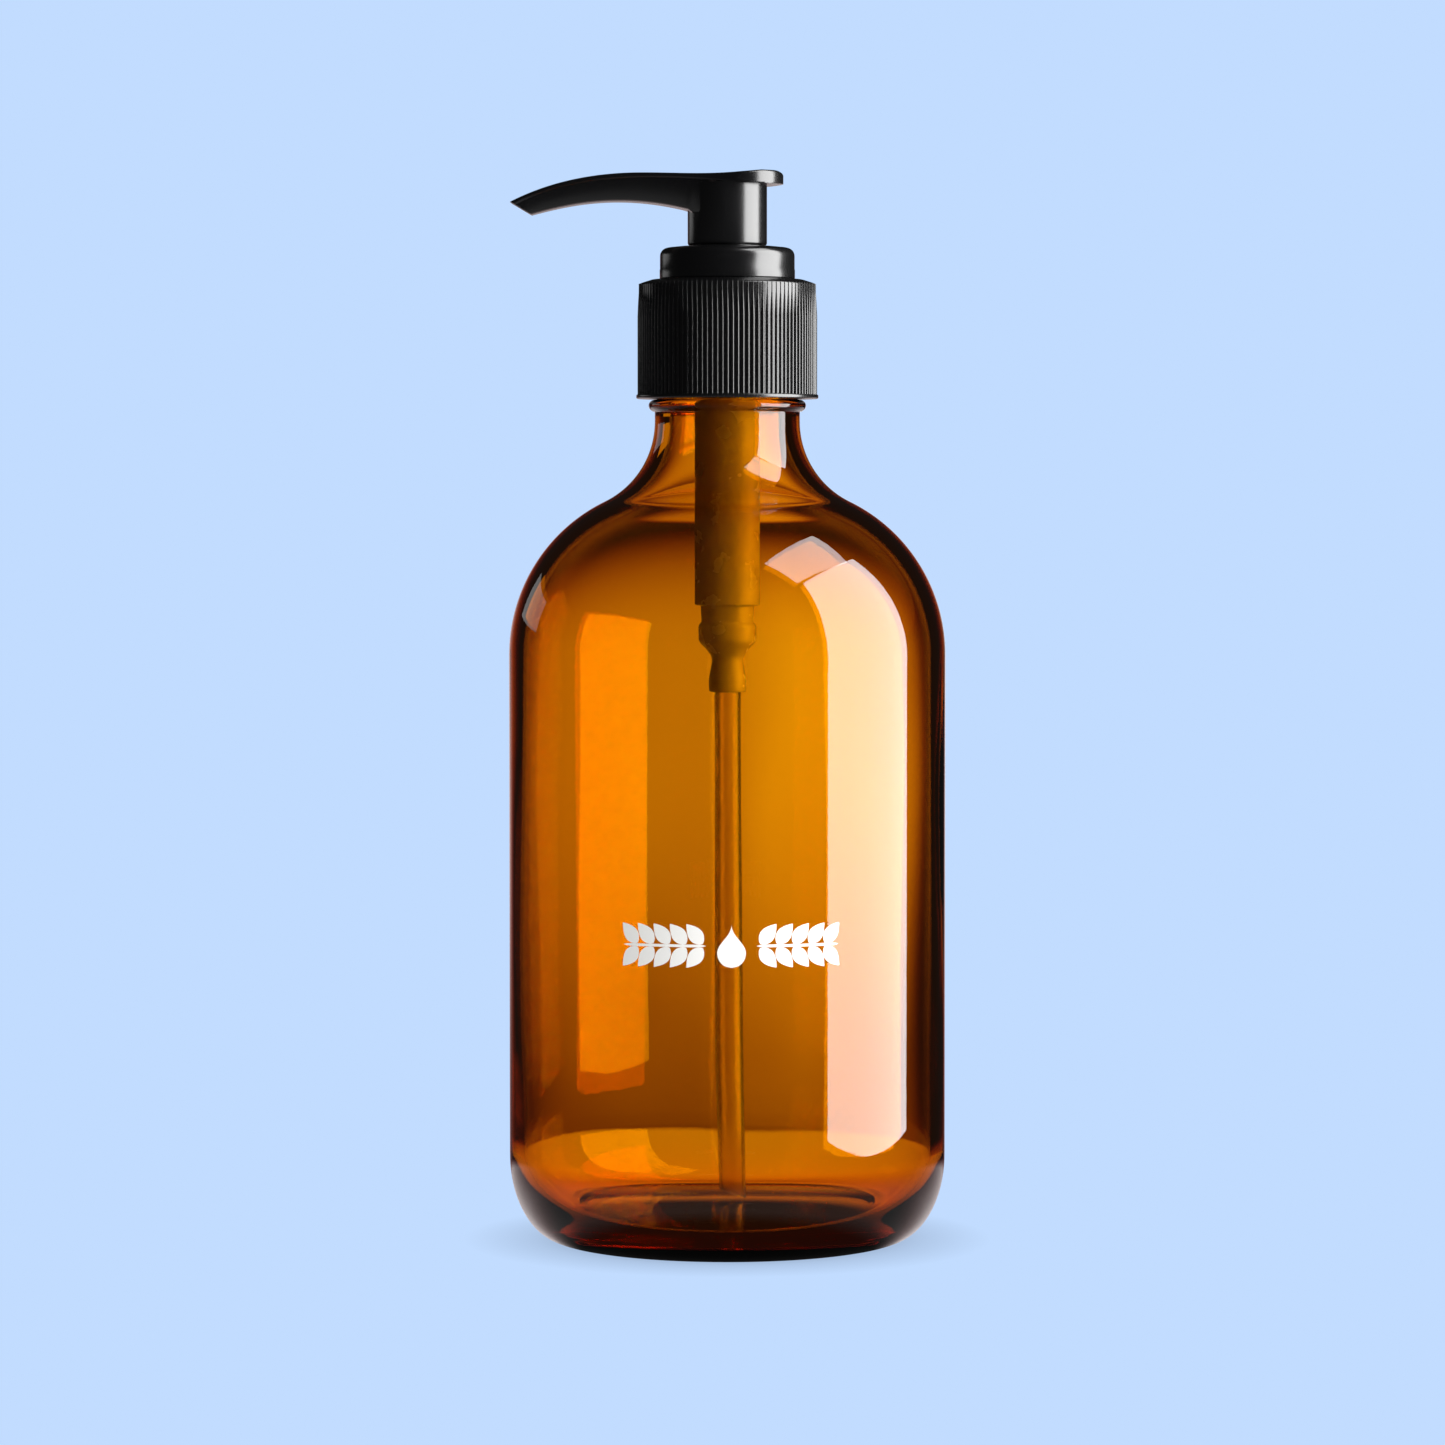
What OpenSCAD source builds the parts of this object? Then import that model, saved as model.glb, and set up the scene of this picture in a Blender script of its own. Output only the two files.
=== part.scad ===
// Pump oil bottle: a round amber glass bottle closed by a screw-on dispensing pump.
// Millimetres. +Z is up, the origin is the middle of the foot and the spout points along -X.
// The head is drawn screwed down on its lock collar, which is the lowest point of its stroke.

/* [Bottle] */
// Outside diameter of the glass body
body_d = 79; // [64:0.5:96]
// Height at which the straight wall ends and the shoulder starts
body_h = 106; // [86:1:130]
// Thickness of the glass wall, from the heel to the mouth
glass = 2.6; // [2:0.1:3.2]
// Radius of the shoulder's curve
shoulder_r = 30.8; // [26:0.2:32]
// Radius of the hollow curve between shoulder and neck
throat_r = 16; // [12:0.5:20]
// Outside diameter of the ring that the bottle stands on
foot_d = 60; // [50:0.5:62]
// Width of that ring
foot_w = 2.5; // [1.5:0.1:4]
// Height of the rounded heel
heel_h = 15.5; // [12:0.5:20]
// Height of the hollow under the floor
push_up = 1.6; // [1:0.1:2.4]
// Height of the inside floor above the table
floor_z = 4; // [3.6:0.1:6]
// Height of the rounded heel inside
heel_in_h = 12.6; // [10:0.2:16]

/* [Neck finish] */
// Diameter at the root of the thread, which sets the size of neck, closure and housing
finish_d = 25.1; // [22:0.1:31]
// Height of the threaded finish, from bead to rim
finish_h = 17.4; // [16:0.1:21]
// Thickness of the glass behind the thread
finish_wall = 2; // [1.6:0.1:2.4]
// Height of the thread above its root
thread_depth = 1.15; // [1:0.05:1.3]
// How far the plain neck stands out past the thread's root
neck_step = 0.6; // [0.3:0.1:1.6]
// Height of the plain neck below its bead
neck_h = 1.8; // [1:0.1:6]
// How far the bead stands out past the plain neck
bead_step = 1.05; // [0.8:0.05:1.6]
// Height of the bead
bead_h = 2.1; // [1.6:0.1:3]
// Rise of the thread in one turn
pitch = 4.233; // [3.5:0.001:5]
// Number of turns of thread
thread_turns = 1.5; // [1.25:0.25:2]
// Depth of the thread's last turn below the rim
thread_drop = 2.4; // [2:0.1:3.4]

/* [Closure] */
// Thickness of the closure's wall under its ribs
closure_wall = 1.8; // [1.4:0.1:3]
// Height of a rib above the wall
rib_depth = 0.35; // [0.2:0.05:0.6]
// Number of ribs
ribs = 108; // [60:4:132]
// How far the brim at the closure's foot stands out past the ribs
brim_out = 0.25; // [0.1:0.05:0.6]
// Height of the brim
brim_h = 0.8; // [0.5:0.1:1.6]
// Thickness of the closure's top
closure_top_t = 1.4; // [1:0.1:2]
// Height over which the closure's top falls away to the ribs
closure_bevel_h = 0.7; // [0.3:0.1:1]

/* [Lock collar] */
// How far the collar reaches out past the inside of the housing's cup
collar_over = 3.6; // [3:0.1:6]
// Height of the collar above the closure
collar_h = 5.9; // [5:0.1:8]
// Radius of the collar's rounded top edge
collar_edge_r = 1.5; // [0.6:0.1:2]
// How much the collar's top rises towards its middle
collar_crown = 0.45; // [0.2:0.05:0.8]
// Wall thickness of the collar
collar_wall = 1.2; // [0.9:0.1:1.6]
// Wall thickness of the head's lock screw
lock_wall = 0.7; // [0.6:0.05:1]
// Height of the lock thread above the lock screw's wall
lock_thread_h = 0.45; // [0.3:0.05:0.6]
// Rise of the lock thread in one turn
lock_pitch = 3; // [2.4:0.1:3.6]
// Length of the stem guide below the collar's floor
guide_h = 6.9; // [4:0.1:12]
// Wall thickness of the stem guide
guide_wall = 1.15; // [0.9:0.05:1.5]

/* [Pump head] */
// Distance from the pump's axis to the tip of the spout
spout_reach = 39.2; // [30:0.2:39.4]
// Distance from the pump's axis to the back of the head
head_back = 10.1; // [9:0.1:12]
// Width of the head over its thumb rest
head_w = 16.1; // [15.2:0.1:20]
// Width of the spout at its tip
tip_w = 6.8; // [5.6:0.1:9]
// How far the head's skirt stands out past the lock screw's hole
skirt_out = 1.05; // [0.9:0.05:1.6]
// Height from the bottom of the skirt to the top of the thumb rest
head_h = 13.4; // [12:0.1:18]
// Thickness of the lip behind the skirt
lip_t = 2.55; // [2:0.05:4]
// Wall thickness of the skirt
skirt_wall = 0.8; // [0.6:0.05:1]
// Diameter of the product channel in the spout
channel_d = 2.8; // [2:0.1:3]

/* [Pump engine] */
// Travel of the head, from locked down to fully up
stroke = 18; // [12:0.5:22]
// Diameter of the hollow stem
stem_d = 7; // [6.4:0.1:7.2]
// Diameter of the stem's channel
stem_bore_d = 3.6; // [3:0.1:4]
// Gap between the stem guide and the cylinder that the piston runs in
bore_gap = 0.2; // [0.15:0.05:0.6]
// Wall thickness of the housing's tube
tube_wall = 1; // [0.8:0.05:1.2]
// Height of the piston
piston_h = 5.5; // [4.5:0.1:8]
// Slip of the piston along its rod, which opens and shuts the outlet valve
valve_slip = 1; // [0.6:0.1:1.6]
// Diameter of the piston rod
rod_d = 4.8; // [4.4:0.1:4.9]
// Length of the spring with the head locked down
spring_locked = 16; // [13:0.5:20]
// Thickness of the spring's wire
wire_d = 0.8; // [0.6:0.05:0.9]
// Number of turns of the spring
spring_turns = 11; // [8:1:13]
// Diameter of the inlet ball
ball_d = 4.6; // [4:0.1:5]
// Rise of the inlet ball off its seat
ball_lift = 1.2; // [0.6:0.1:2]
// Outside diameter of the dip tube
dip_d = 4.9; // [4:0.1:5.4]
// Wall thickness of the dip tube
dip_wall = 0.6; // [0.4:0.05:0.9]
// Thickness of the gasket
gasket_t = 1.5; // [1:0.1:2]
// Thickness of the housing's flange
flange_t = 1.2; // [1:0.1:1.8]

/* [Clearances] */
// Radial play of a part that slides or turns in its bore
run = 0.05; // [0.02:0.01:0.08]
// Gap between parts that rest on each other
rest = 0.03; // [0.01:0.01:0.05]
// Gap between parts that pass without touching
pass = 0.15; // [0.1:0.01:0.2]
// Radial play of the closure round the pump and over the thread
screw_play = 0.35; // [0.3:0.01:0.4]

/* [Hidden] */
$fn = 96;

glass_amber = "#8a4407";
plastic_black = "#161618";
plastic_natural = "#d9d7cf";
foam_white = "#eceae2";
steel = "#b9bcc0";

eps = 0.01;             // overlap that makes touching pieces of one part a single solid
sink = 0.4;             // depth to which a thread's root is let into its wall
thread_steps = 18;      // flats in one turn of a thread
spring_steps = 12;      // flats in one turn of the spring
thread_ramp = 40;       // degrees over which a thread fades in at each end

// Bottle: radii and heights of the outline, from the foot up
neck_d = finish_d + 2 * neck_step;
bead_d = neck_d + 2 * bead_step;
thread_d = finish_d + 2 * thread_depth;
body_r = body_d / 2;
foot_r = foot_d / 2;
shoulder_x = body_r - shoulder_r;
throat_x = neck_d / 2 + throat_r;
throat_z = body_h + sqrt(pow(shoulder_r + throat_r, 2) - pow(throat_x - shoulder_x, 2));
throat_a = atan2(throat_z - body_h, throat_x - shoulder_x);
floor_r = foot_r - foot_w;
mouth_r = finish_d / 2 - finish_wall;
bead_z = throat_z + neck_h;
bead_top = bead_z + bead_h;
rim_z = bead_top + finish_h;
rim_edge = 0.5;

// Thread of the finish and its partner in the closure
thread_z = rim_z - thread_drop - pitch * thread_turns;
thread_root_w = 2.3;
thread_crest_w = 1.1;
mate_root_w = 2;
mate_crest_w = 0.9;
mate_drop = 1.6;
mate_start = -200;

// Stack of parts on the rim
gasket_top = rim_z + gasket_t;
flange_top = gasket_top + flange_t;
closure_z = bead_top + pass + eps;
closure_in_top = flange_top + 2 * run;
closure_top = closure_in_top + closure_top_t;
closure_in_r = thread_d / 2 + screw_play;
closure_root_r = closure_in_r + closure_wall;
closure_r = closure_root_r + rib_depth;
collar_z = closure_top + pass;
collar_top = collar_z + collar_h;

// Cup of the housing, which the collar snaps into
cup_play = 0.95;
cup_out_r = mouth_r - cup_play;
cup_wall = 1;
cup_in_r = cup_out_r - cup_wall;
cup_depth = 5.4;
cup_floor_t = 1.5;
snap = 0.25;
snap_h = 0.9;
snap_drop = 3.2;
snap_z = flange_top - snap_drop;
closure_hole_r = cup_in_r + 0.3;
collar_r = cup_in_r + collar_over;
collar_floor_z = gasket_top - cup_depth + rest;
collar_floor_t = 1.5;
guide_z = collar_floor_z - guide_h;
guide_r = stem_d / 2 + run;
guide_out_r = guide_r + guide_wall;
guide_rise = 9.5;
guide_top = collar_floor_z + guide_rise;

// Engine: heights with the head locked down, from the guide to the dip tube
piston_top = guide_z - 2 * run - valve_slip - stroke;
piston_z = piston_top - piston_h;
valve_h = 2;
valve_z = piston_z - rest - valve_h;
stem_z = piston_top + valve_slip + 2 * run;
plug_len = 9.5;
seat_z = valve_z - spring_locked;
bore_r = guide_out_r + bore_gap;
tube_r = bore_r + tube_wall;
seat_t = 1;
tube_z = seat_z - seat_t;
cage_h = 3;
cage_r = bore_r;
bulb_h = 5;
bulb_r = cage_r + 0.35;
bulb_z = tube_z - cage_h - bulb_h;
dip_r = dip_d / 2;
socket_wall = 1;
socket_r = dip_r + socket_wall;
socket_len = 7.7;
socket_z = bulb_z - socket_len;
socket_lip = 0.7;
dip_top = bulb_z - socket_lip;
dip_gap = 0.6;
dip_bottom = floor_z + dip_gap;
ball_r = ball_d / 2;
ball_room = 0.7;
chamber_r = ball_r + ball_room;
inlet_r = 1.5;
cone_z = bulb_z + 0.2;
ball_z = cone_z + ball_r * sqrt(2) - inlet_r + rest;
nib_grip = 0.4;
nib_in_r = ball_r - nib_grip;
nib_z = ball_z + ball_lift + sqrt(pow(ball_r, 2) - pow(nib_in_r, 2)) + pass;

// Head: heights from the bottom of its skirt
head_z = collar_top + pass;
head_top = head_z + head_h;
socket_drop = 4.3;
socket_top = head_top - socket_drop;
channel_drop = 3.1;
channel_z = head_top - channel_drop;
lock_post_in_r = guide_out_r + 2 * run;
lock_post_r = lock_post_in_r + lock_wall;
lock_crest_r = lock_post_r + lock_thread_h;
lock_r = lock_crest_r + pass;
skirt_r = lock_r + skirt_out;
lock_room = 3;
lock_post_z = collar_floor_z + collar_floor_t + lock_room;
lock_lead = 2.2;
lock_thread_z = lock_post_z + lock_lead;
lock_turns = 1.25;
spout_bend_x = -0.58 * spout_reach;
ledge = 0.3;            // how far the plate's edge stands out past the spout's sides

// Points on an ellipse about c, with radii r = [across, up], from angle a to angle b
function arc(c, r, a, b, n) =
    [for (i = [0:n]) let (t = a + (b - a) * i / n) [c[0] + r[0] * cos(t), c[1] + r[1] * sin(t)]];

// Points on the cubic curve with the control points p
function curve(p, n) = [for (i = [0:n]) let (t = i / n, s = 1 - t)
    s * s * s * p[0] + 3 * s * s * t * p[1] + 3 * s * t * t * p[2] + t * t * t * p[3]];

// A ring between two radii, from z0 up by h
module ring(r_out, r_in, z0, h) {
    translate([0, 0, z0]) difference() {
        cylinder(r = r_out, h = h);
        translate([0, 0, -1]) cylinder(r = r_in, h = h + 2);
    }
}

// One helical rib. It runs from angle a0 for the given turns, with its middle at z0 when the angle is 0.
// r_in and r_out are its radii on the wall's side and at its crest, w_in and w_out its widths there.
module helix(r_in, r_out, w_in, w_out, z0, rise, a0, turns) {
    steps = ceil(turns * thread_steps);
    sweep = 360 * turns;
    fade = [for (i = [0:steps]) let (a = sweep * i / steps)
        min(1, 0.1 + a / thread_ramp, 0.1 + (sweep - a) / thread_ramp)];
    points = [for (i = [0:steps]) let (
            a = a0 + sweep * i / steps,
            z = z0 + rise * a / 360,
            r = r_in + (r_out - r_in) * fade[i])
        each [
            [r_in * cos(a), r_in * sin(a), z - w_in / 2],
            [r * cos(a), r * sin(a), z - w_out / 2],
            [r * cos(a), r * sin(a), z + w_out / 2],
            [r_in * cos(a), r_in * sin(a), z + w_in / 2]]];
    swept_solid(points, 4, r_out > r_in);
}

// A closed solid through rings of n points each. The rings turn the other way if flip is false.
module swept_solid(points, n, flip) {
    rings = len(points) / n;
    sides = [for (i = [0:rings - 2], k = [0:n - 1]) let (
            a = i * n + k, b = i * n + (k + 1) % n, c = b + n, d = a + n)
        each [[a, b, c], [a, c, d]]];
    first = [for (k = [1:n - 2]) [0, k + 1, k]];
    base = (rings - 1) * n;
    last = [for (k = [1:n - 2]) [base, base + k, base + k + 1]];
    faces = concat(sides, first, last);
    polyhedron(points, flip ? faces : [for (f = faces) [f[2], f[1], f[0]]]);
}

// Glass bottle: foot, heel, straight wall, shoulder, neck, bead and threaded finish
module bottle() color(glass_amber) {
    outside = concat(
        arc([0, 0], [floor_r, push_up], 90, 0, 8),
        arc([foot_r, heel_h], [body_r - foot_r, heel_h], -90, 0, 10),
        arc([shoulder_x, body_h], [shoulder_r, shoulder_r], 0, throat_a, 14),
        arc([throat_x, throat_z], [throat_r, throat_r], 180 + throat_a, 180, 8));
    finish = [
        [neck_d / 2, bead_z], [bead_d / 2 - rim_edge, bead_z],
        [bead_d / 2, bead_z + rim_edge], [bead_d / 2, bead_top - rim_edge],
        [bead_d / 2 - rim_edge, bead_top], [finish_d / 2, bead_top],
        [finish_d / 2, rim_z - rim_edge], [finish_d / 2 - rim_edge, rim_z],
        [mouth_r + rim_edge, rim_z], [mouth_r, rim_z - rim_edge]];
    inside = concat(
        arc([throat_x, throat_z], [throat_r + glass, throat_r + glass], 180, 180 + throat_a, 8),
        arc([shoulder_x, body_h], [shoulder_r - glass, shoulder_r - glass], throat_a, 0, 14),
        arc([floor_r, floor_z + heel_in_h], [body_r - glass - floor_r, heel_in_h], 0, -90, 10),
        [[0, floor_z]]);
    rotate_extrude() polygon(concat(outside, finish, inside));
    helix(finish_d / 2 - sink, thread_d / 2, thread_root_w + sink, thread_crest_w,
          thread_z, pitch, 0, thread_turns);
}

// Ribbed screw closure: it turns freely between the housing's flange and the lock collar
module closure() color(plastic_black) {
    brim_r = closure_r + brim_out;
    rib_sink = 0.05;
    band = 0.5;
    top_bevel_w = 2.2;
    rib_z = closure_z + brim_h;
    rib_top = closure_top - closure_bevel_h;
    rib_a = 360 / ribs;
    rotate_extrude() polygon([
        [closure_hole_r, closure_in_top], [closure_in_r, closure_in_top], [closure_in_r, closure_z],
        [brim_r, closure_z], [brim_r, rib_z], [closure_root_r, rib_z], [closure_root_r, rib_top],
        [closure_root_r - top_bevel_w, closure_top], [closure_hole_r, closure_top]]);
    translate([0, 0, rib_z - eps]) linear_extrude(rib_top - rib_z) difference() {
        polygon([for (i = [0:ribs - 1]) let (a = i * rib_a) each [
            (closure_root_r - rib_sink) * [cos(a), sin(a)],
            closure_r * [cos(a + 0.4 * rib_a), sin(a + 0.4 * rib_a)],
            closure_r * [cos(a + 0.6 * rib_a), sin(a + 0.6 * rib_a)]]]);
        circle(r = closure_root_r - band);
    }
    helix(closure_in_r + sink, finish_d / 2 + screw_play, mate_root_w + sink, mate_crest_w,
          thread_z - mate_drop, pitch, mate_start, thread_turns);
}

// Lock collar: domed cap, socket for the head's lock screw, snap tube and stem guide in one moulding
module lock_collar() color(plastic_black) {
    r = collar_r;
    edge_z = collar_top - collar_crown - collar_edge_r;
    snap_r = cup_in_r - rest;
    snap_in_r = snap_r - 1.2;
    lock_z = collar_z - 1.5;
    under_z = edge_z - 0.4;
    flat = 1.5;
    flat_fall = 0.1;
    groove = 0.5;
    difference() {
        rotate_extrude() polygon(concat(
            [[lock_r, lock_z], [snap_in_r, lock_z - 1.2],
             [snap_in_r, collar_floor_z + collar_floor_t],
             [guide_out_r, collar_floor_z + collar_floor_t],
             [guide_out_r, guide_top], [guide_r, guide_top], [guide_r, guide_z],
             [guide_out_r, guide_z], [guide_out_r, collar_floor_z],
             [snap_r, collar_floor_z], [snap_r, snap_z - snap_h / 2],
             [snap_r + snap, snap_z - snap_h / 4], [snap_r + snap, snap_z + snap_h / 4],
             [snap_r, snap_z + snap_h / 2], [snap_r, under_z],
             [r - collar_wall, under_z], [r - collar_wall, collar_z], [r, collar_z]],
            arc([r - collar_edge_r, edge_z], [collar_edge_r, collar_edge_r], 0, 75, 6),
            [[skirt_r + flat, collar_top - flat_fall], [skirt_r, collar_top], [lock_r, collar_top]]));
        helix(lock_r - 0.3, lock_r + groove, 2.2, 1, lock_thread_z, lock_pitch, 0, lock_turns);
    }
}

// Gasket: a soft washer between the rim and the housing's flange
module gasket() color(foam_white)
    ring(finish_d / 2 - pass, cup_out_r + 2 * run, rim_z, gasket_t);

// Pump housing: flange, cup, cylinder, ball cage and dip tube socket in one moulding
module housing() color(plastic_natural) {
    cup_z = gasket_top - cup_depth;
    difference() {
        rotate_extrude() polygon([
            [cup_in_r, flange_top], [cup_in_r, snap_z + snap_h / 2],
            [cup_in_r + snap, snap_z + snap_h / 4], [cup_in_r + snap, snap_z - snap_h / 4],
            [cup_in_r, snap_z - snap_h / 2], [cup_in_r, cup_z], [bore_r, cup_z],
            [bore_r, seat_z], [chamber_r, seat_z], [chamber_r, cone_z + chamber_r - inlet_r],
            [inlet_r, cone_z], [inlet_r, dip_top + rest], [dip_r, dip_top + rest],
            [dip_r, socket_z], [socket_r, socket_z], [socket_r, bulb_z], [bulb_r, bulb_z],
            [bulb_r, bulb_z + bulb_h], [cage_r, bulb_z + bulb_h], [cage_r, tube_z],
            [tube_r, tube_z], [tube_r, cup_z - cup_floor_t - 2], [cup_out_r, cup_z - cup_floor_t],
            [cup_out_r, gasket_top], [finish_d / 2 - pass, gasket_top],
            [finish_d / 2 - pass, flange_top]]);
        // Vent that lets air in behind the piston
        translate([0, 0, guide_z - 1.5]) rotate([0, 90, 0]) cylinder(r = 0.6, h = tube_r + 1);
    }
    // Nibs that keep the ball in its cage
    for (a = [0:120:240]) rotate([0, 0, a])
        translate([nib_in_r, -0.5, nib_z]) cube([chamber_r + 0.5 - nib_in_r, 1, 1.6]);
}

// Dip tube: pressed into the housing's socket, with its foot cut on the slant above the floor
module dip_tube() color(plastic_natural) difference() {
    ring(dip_r, dip_r - dip_wall, dip_bottom, dip_top - dip_bottom);
    translate([-dip_d, 0, dip_bottom]) rotate([0, 40, 0])
        translate([-dip_d, -dip_d, -3 * dip_d]) cube([4 * dip_d, 2 * dip_d, 3 * dip_d]);
}

// Hollow upper stem: pressed into the head, with a snap socket for the piston rod at its foot
module upper_stem() color(plastic_natural) {
    socket_in_r = rod_d / 2 + run;
    plug_top = stem_z + plug_len + pass;
    snap_at = stem_z + plug_len / 2;
    rotate_extrude() polygon([
        [stem_d / 2, stem_z], [stem_d / 2, socket_top], [stem_bore_d / 2, socket_top],
        [stem_bore_d / 2, plug_top], [socket_in_r, plug_top],
        [socket_in_r, snap_at + 0.7], [socket_in_r + 0.2, snap_at + 0.6],
        [socket_in_r + 0.2, snap_at - 0.6], [socket_in_r, snap_at - 0.7], [socket_in_r, stem_z]]);
}

// Piston rod: valve head, spring guide and ported hollow rod
module lower_stem() color(plastic_natural) {
    rod_r = rod_d / 2;
    rod_bore_r = 1.3;
    valve_r = bore_r - 0.7;
    plug_top = stem_z + plug_len;
    snap_at = stem_z + plug_len / 2;
    port_z = valve_z + valve_h + 1;
    difference() {
        rotate_extrude() polygon([
            [0, valve_z - 7], [1.4, valve_z - 7], [1.8, valve_z - 6], [1.8, valve_z],
            [valve_r, valve_z], [valve_r, valve_z + valve_h - 0.4],
            [valve_r - 0.4, valve_z + valve_h], [rod_r, valve_z + valve_h],
            [rod_r, snap_at - 0.6], [rod_r + 0.15, snap_at - 0.5], [rod_r + 0.15, snap_at + 0.5],
            [rod_r, snap_at + 0.6], [rod_r, plug_top], [rod_bore_r, plug_top],
            [rod_bore_r, port_z - 0.7], [0, port_z - 0.7]]);
        for (a = [0, 90]) rotate([0, 0, a]) translate([-rod_r - 1, 0, port_z])
            rotate([0, 90, 0]) cylinder(r = 0.7, h = rod_d + 2);
    }
}

// Piston: two thin lips that wipe the cylinder, and a sleeve that slides on the rod
module piston() color(foam_white) {
    lip_r = bore_r - run / 2;
    sleeve_r = rod_d / 2 + run / 2;
    h = piston_h;
    translate([0, 0, piston_z]) rotate_extrude() polygon([
        [sleeve_r, 0], [sleeve_r + 0.9, 0], [sleeve_r + 0.9, 0.4 * h], [lip_r - 0.9, 0.4 * h],
        [lip_r - 0.4, 0], [lip_r, 0], [lip_r, 0.08 * h], [lip_r - 0.3, 0.45 * h],
        [lip_r - 0.3, 0.55 * h], [lip_r, 0.92 * h], [lip_r, h], [lip_r - 0.4, h],
        [lip_r - 0.9, 0.62 * h], [sleeve_r + 0.9, 0.62 * h], [sleeve_r + 0.9, h], [sleeve_r, h]]);
}

// Return spring: closed end turns and open turns between, drawn with the head locked down
module spring() color(steel) {
    mean_r = bore_r - 0.6 - wire_d / 2;
    sides = 6;
    steps = spring_turns * spring_steps;
    z0 = seat_z + rest + wire_d / 2;
    travel = spring_locked - 2 * rest - wire_d;
    closed = (wire_d + eps) / travel;
    points = [for (i = [0:steps]) let (
            t = i / spring_steps,
            open = (1 - 2 * closed) / (spring_turns - 2),
            up = t < 1 ? t * closed
               : t > spring_turns - 1 ? 1 - (spring_turns - t) * closed
               : closed + (t - 1) * open,
            a = 360 * t, z = z0 + travel * up)
        for (k = [0:sides - 1]) let (
            b = 360 * k / sides + 30,
            r = mean_r + wire_d / 2 * cos(b))
        [r * cos(a), r * sin(a), z + wire_d / 2 * sin(b)]];
    swept_solid(points, sides, true);
}

// Inlet ball: it rests on the cone below the cylinder and shuts the dip tube
module inlet_ball() color(steel) translate([0, 0, ball_z]) sphere(r = ball_r);

// Outline of the spout in plan: it widens from half_tip at its tip to half_root at root_x
module spout_plan(half_tip, half_root, root_x) {
    taper = 2.2;
    length = root_x + spout_reach;
    side = [for (i = [0:16]) let (t = i / 16)
        [length * t - spout_reach, half_tip + (half_root - half_tip) * pow(t, taper)]];
    outline = concat([[-spout_reach - 1, half_tip]], side);
    polygon(concat(outline, [for (i = [len(outline) - 1:-1:0]) [outline[i][0], -outline[i][1]]]));
}

// A point on the slanted end of the spout, from its tip at t = 0 to its lower lip at t = 1
function spout_end(t) = [-spout_reach, -5.6] + t * [3.9, -2.35];

// Top outline of the head from the side, with z measured from the head's top
function head_crown() = let (crest_x = -0.41 * spout_reach) concat(
    curve([spout_end(0), [-0.84 * spout_reach, -2.4],
           [-0.64 * spout_reach, -0.4], [crest_x, -0.4]], 10),
    curve([[crest_x, -0.4], [-8, -0.4], [-3, -1.1], [6, 0]], 8),
    arc([head_back - 1.8, -1], [1.8, 1], 90, 0, 5));

// Underside of the plate, from the thumb rest to the spout's end
function plate_under() = curve([[3, -lip_t], [-0.3 * spout_reach, -0.9],
    [-0.69 * spout_reach, -0.3], spout_end(0.3)], 10);

// Side outline of the plate: the thumb rest behind, and a thinner plate along the spout
module plate_side() polygon(concat(head_crown(),
    [[head_back, 0.2 - lip_t], [head_back - 0.2, -lip_t]], plate_under()));

// Side outline of the spout, whose top is let into the plate
module spout_side() {
    under = plate_under();
    crown = [for (i = [9:-1:1]) under[i] + [0, 0.35]];
    polygon(concat([spout_end(0.15)], crown, [[0, crown[8][1]], [0, -7.4], [0.6 - skirt_r, -7.8]],
        curve([[-skirt_r, -7.1], [-0.51 * spout_reach, -3.95],
               [-0.74 * spout_reach, -6.3], spout_end(1)], 10)));
}

// A block with the side outline given as its child, as wide as w
module side_block(w) translate([0, w / 2, head_top]) rotate([90, 0, 0]) linear_extrude(w) children();

// Pump head: thumb rest, spout, skirt, stem socket and lock screw in one moulding
module pump_head() color(plastic_black) {
    rest_r = head_w / 2;
    rest_x = head_back - rest_r;
    bend = [spout_bend_x, channel_z];
    mouth = [-spout_reach - 1, head_top - 7.3];
    slope = atan2(bend[1] - mouth[1], bend[0] - mouth[0]);
    mitre = channel_d / 2 * tan(slope);
    run_out = norm(bend - mouth);
    difference() {
        union() {
            intersection() {
                translate([0, 0, head_z]) linear_extrude(head_h + 1) {
                    translate([rest_x, 0]) circle(r = rest_r);
                    spout_plan(tip_w / 2, rest_r, rest_x);
                }
                side_block(2 * head_w) plate_side();
            }
            intersection() {
                translate([0, 0, head_z]) linear_extrude(head_h + 1)
                    spout_plan(tip_w / 2 - ledge, skirt_r - 1.2, 0);
                side_block(2 * head_w) spout_side();
            }
            ring(skirt_r, skirt_r - skirt_wall, head_z, head_h - lip_t + 0.5);
            translate([0, 0, socket_top - 1.5]) cylinder(r = skirt_r, h = 2.4);
            ring(lock_post_r, lock_post_in_r, lock_post_z, socket_top - lock_post_z);
            ring(lock_post_r, stem_d / 2, socket_top - 7, 7);
            helix(lock_post_r - 0.3, lock_crest_r, 1.5, 0.6,
                  lock_thread_z, lock_pitch, 0, lock_turns);
        }
        translate([0, 0, socket_top - 3]) cylinder(r = stem_d / 2, h = 3);
        translate([0, 0, socket_top - 1]) cylinder(r = stem_bore_d / 2, h = channel_z - socket_top + 1);
        translate([0, 0, channel_z]) rotate([0, -90, 0]) cylinder(r = channel_d / 2, h = -bend[0]);
        translate([bend[0], 0, channel_z]) rotate([0, -90 - slope, 0])
            translate([0, 0, -mitre]) cylinder(r = channel_d / 2, h = run_out + mitre);
    }
}

bottle();
closure();
lock_collar();
gasket();
housing();
dip_tube();
upper_stem();
lower_stem();
piston();
spring();
inlet_ball();
pump_head();
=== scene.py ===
"""Pump oil bottle: a round amber glass bottle, its printed mark and its screw-on dispensing pump."""

import math

import bmesh
import bpy
from mathutils import Matrix, Vector


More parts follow.
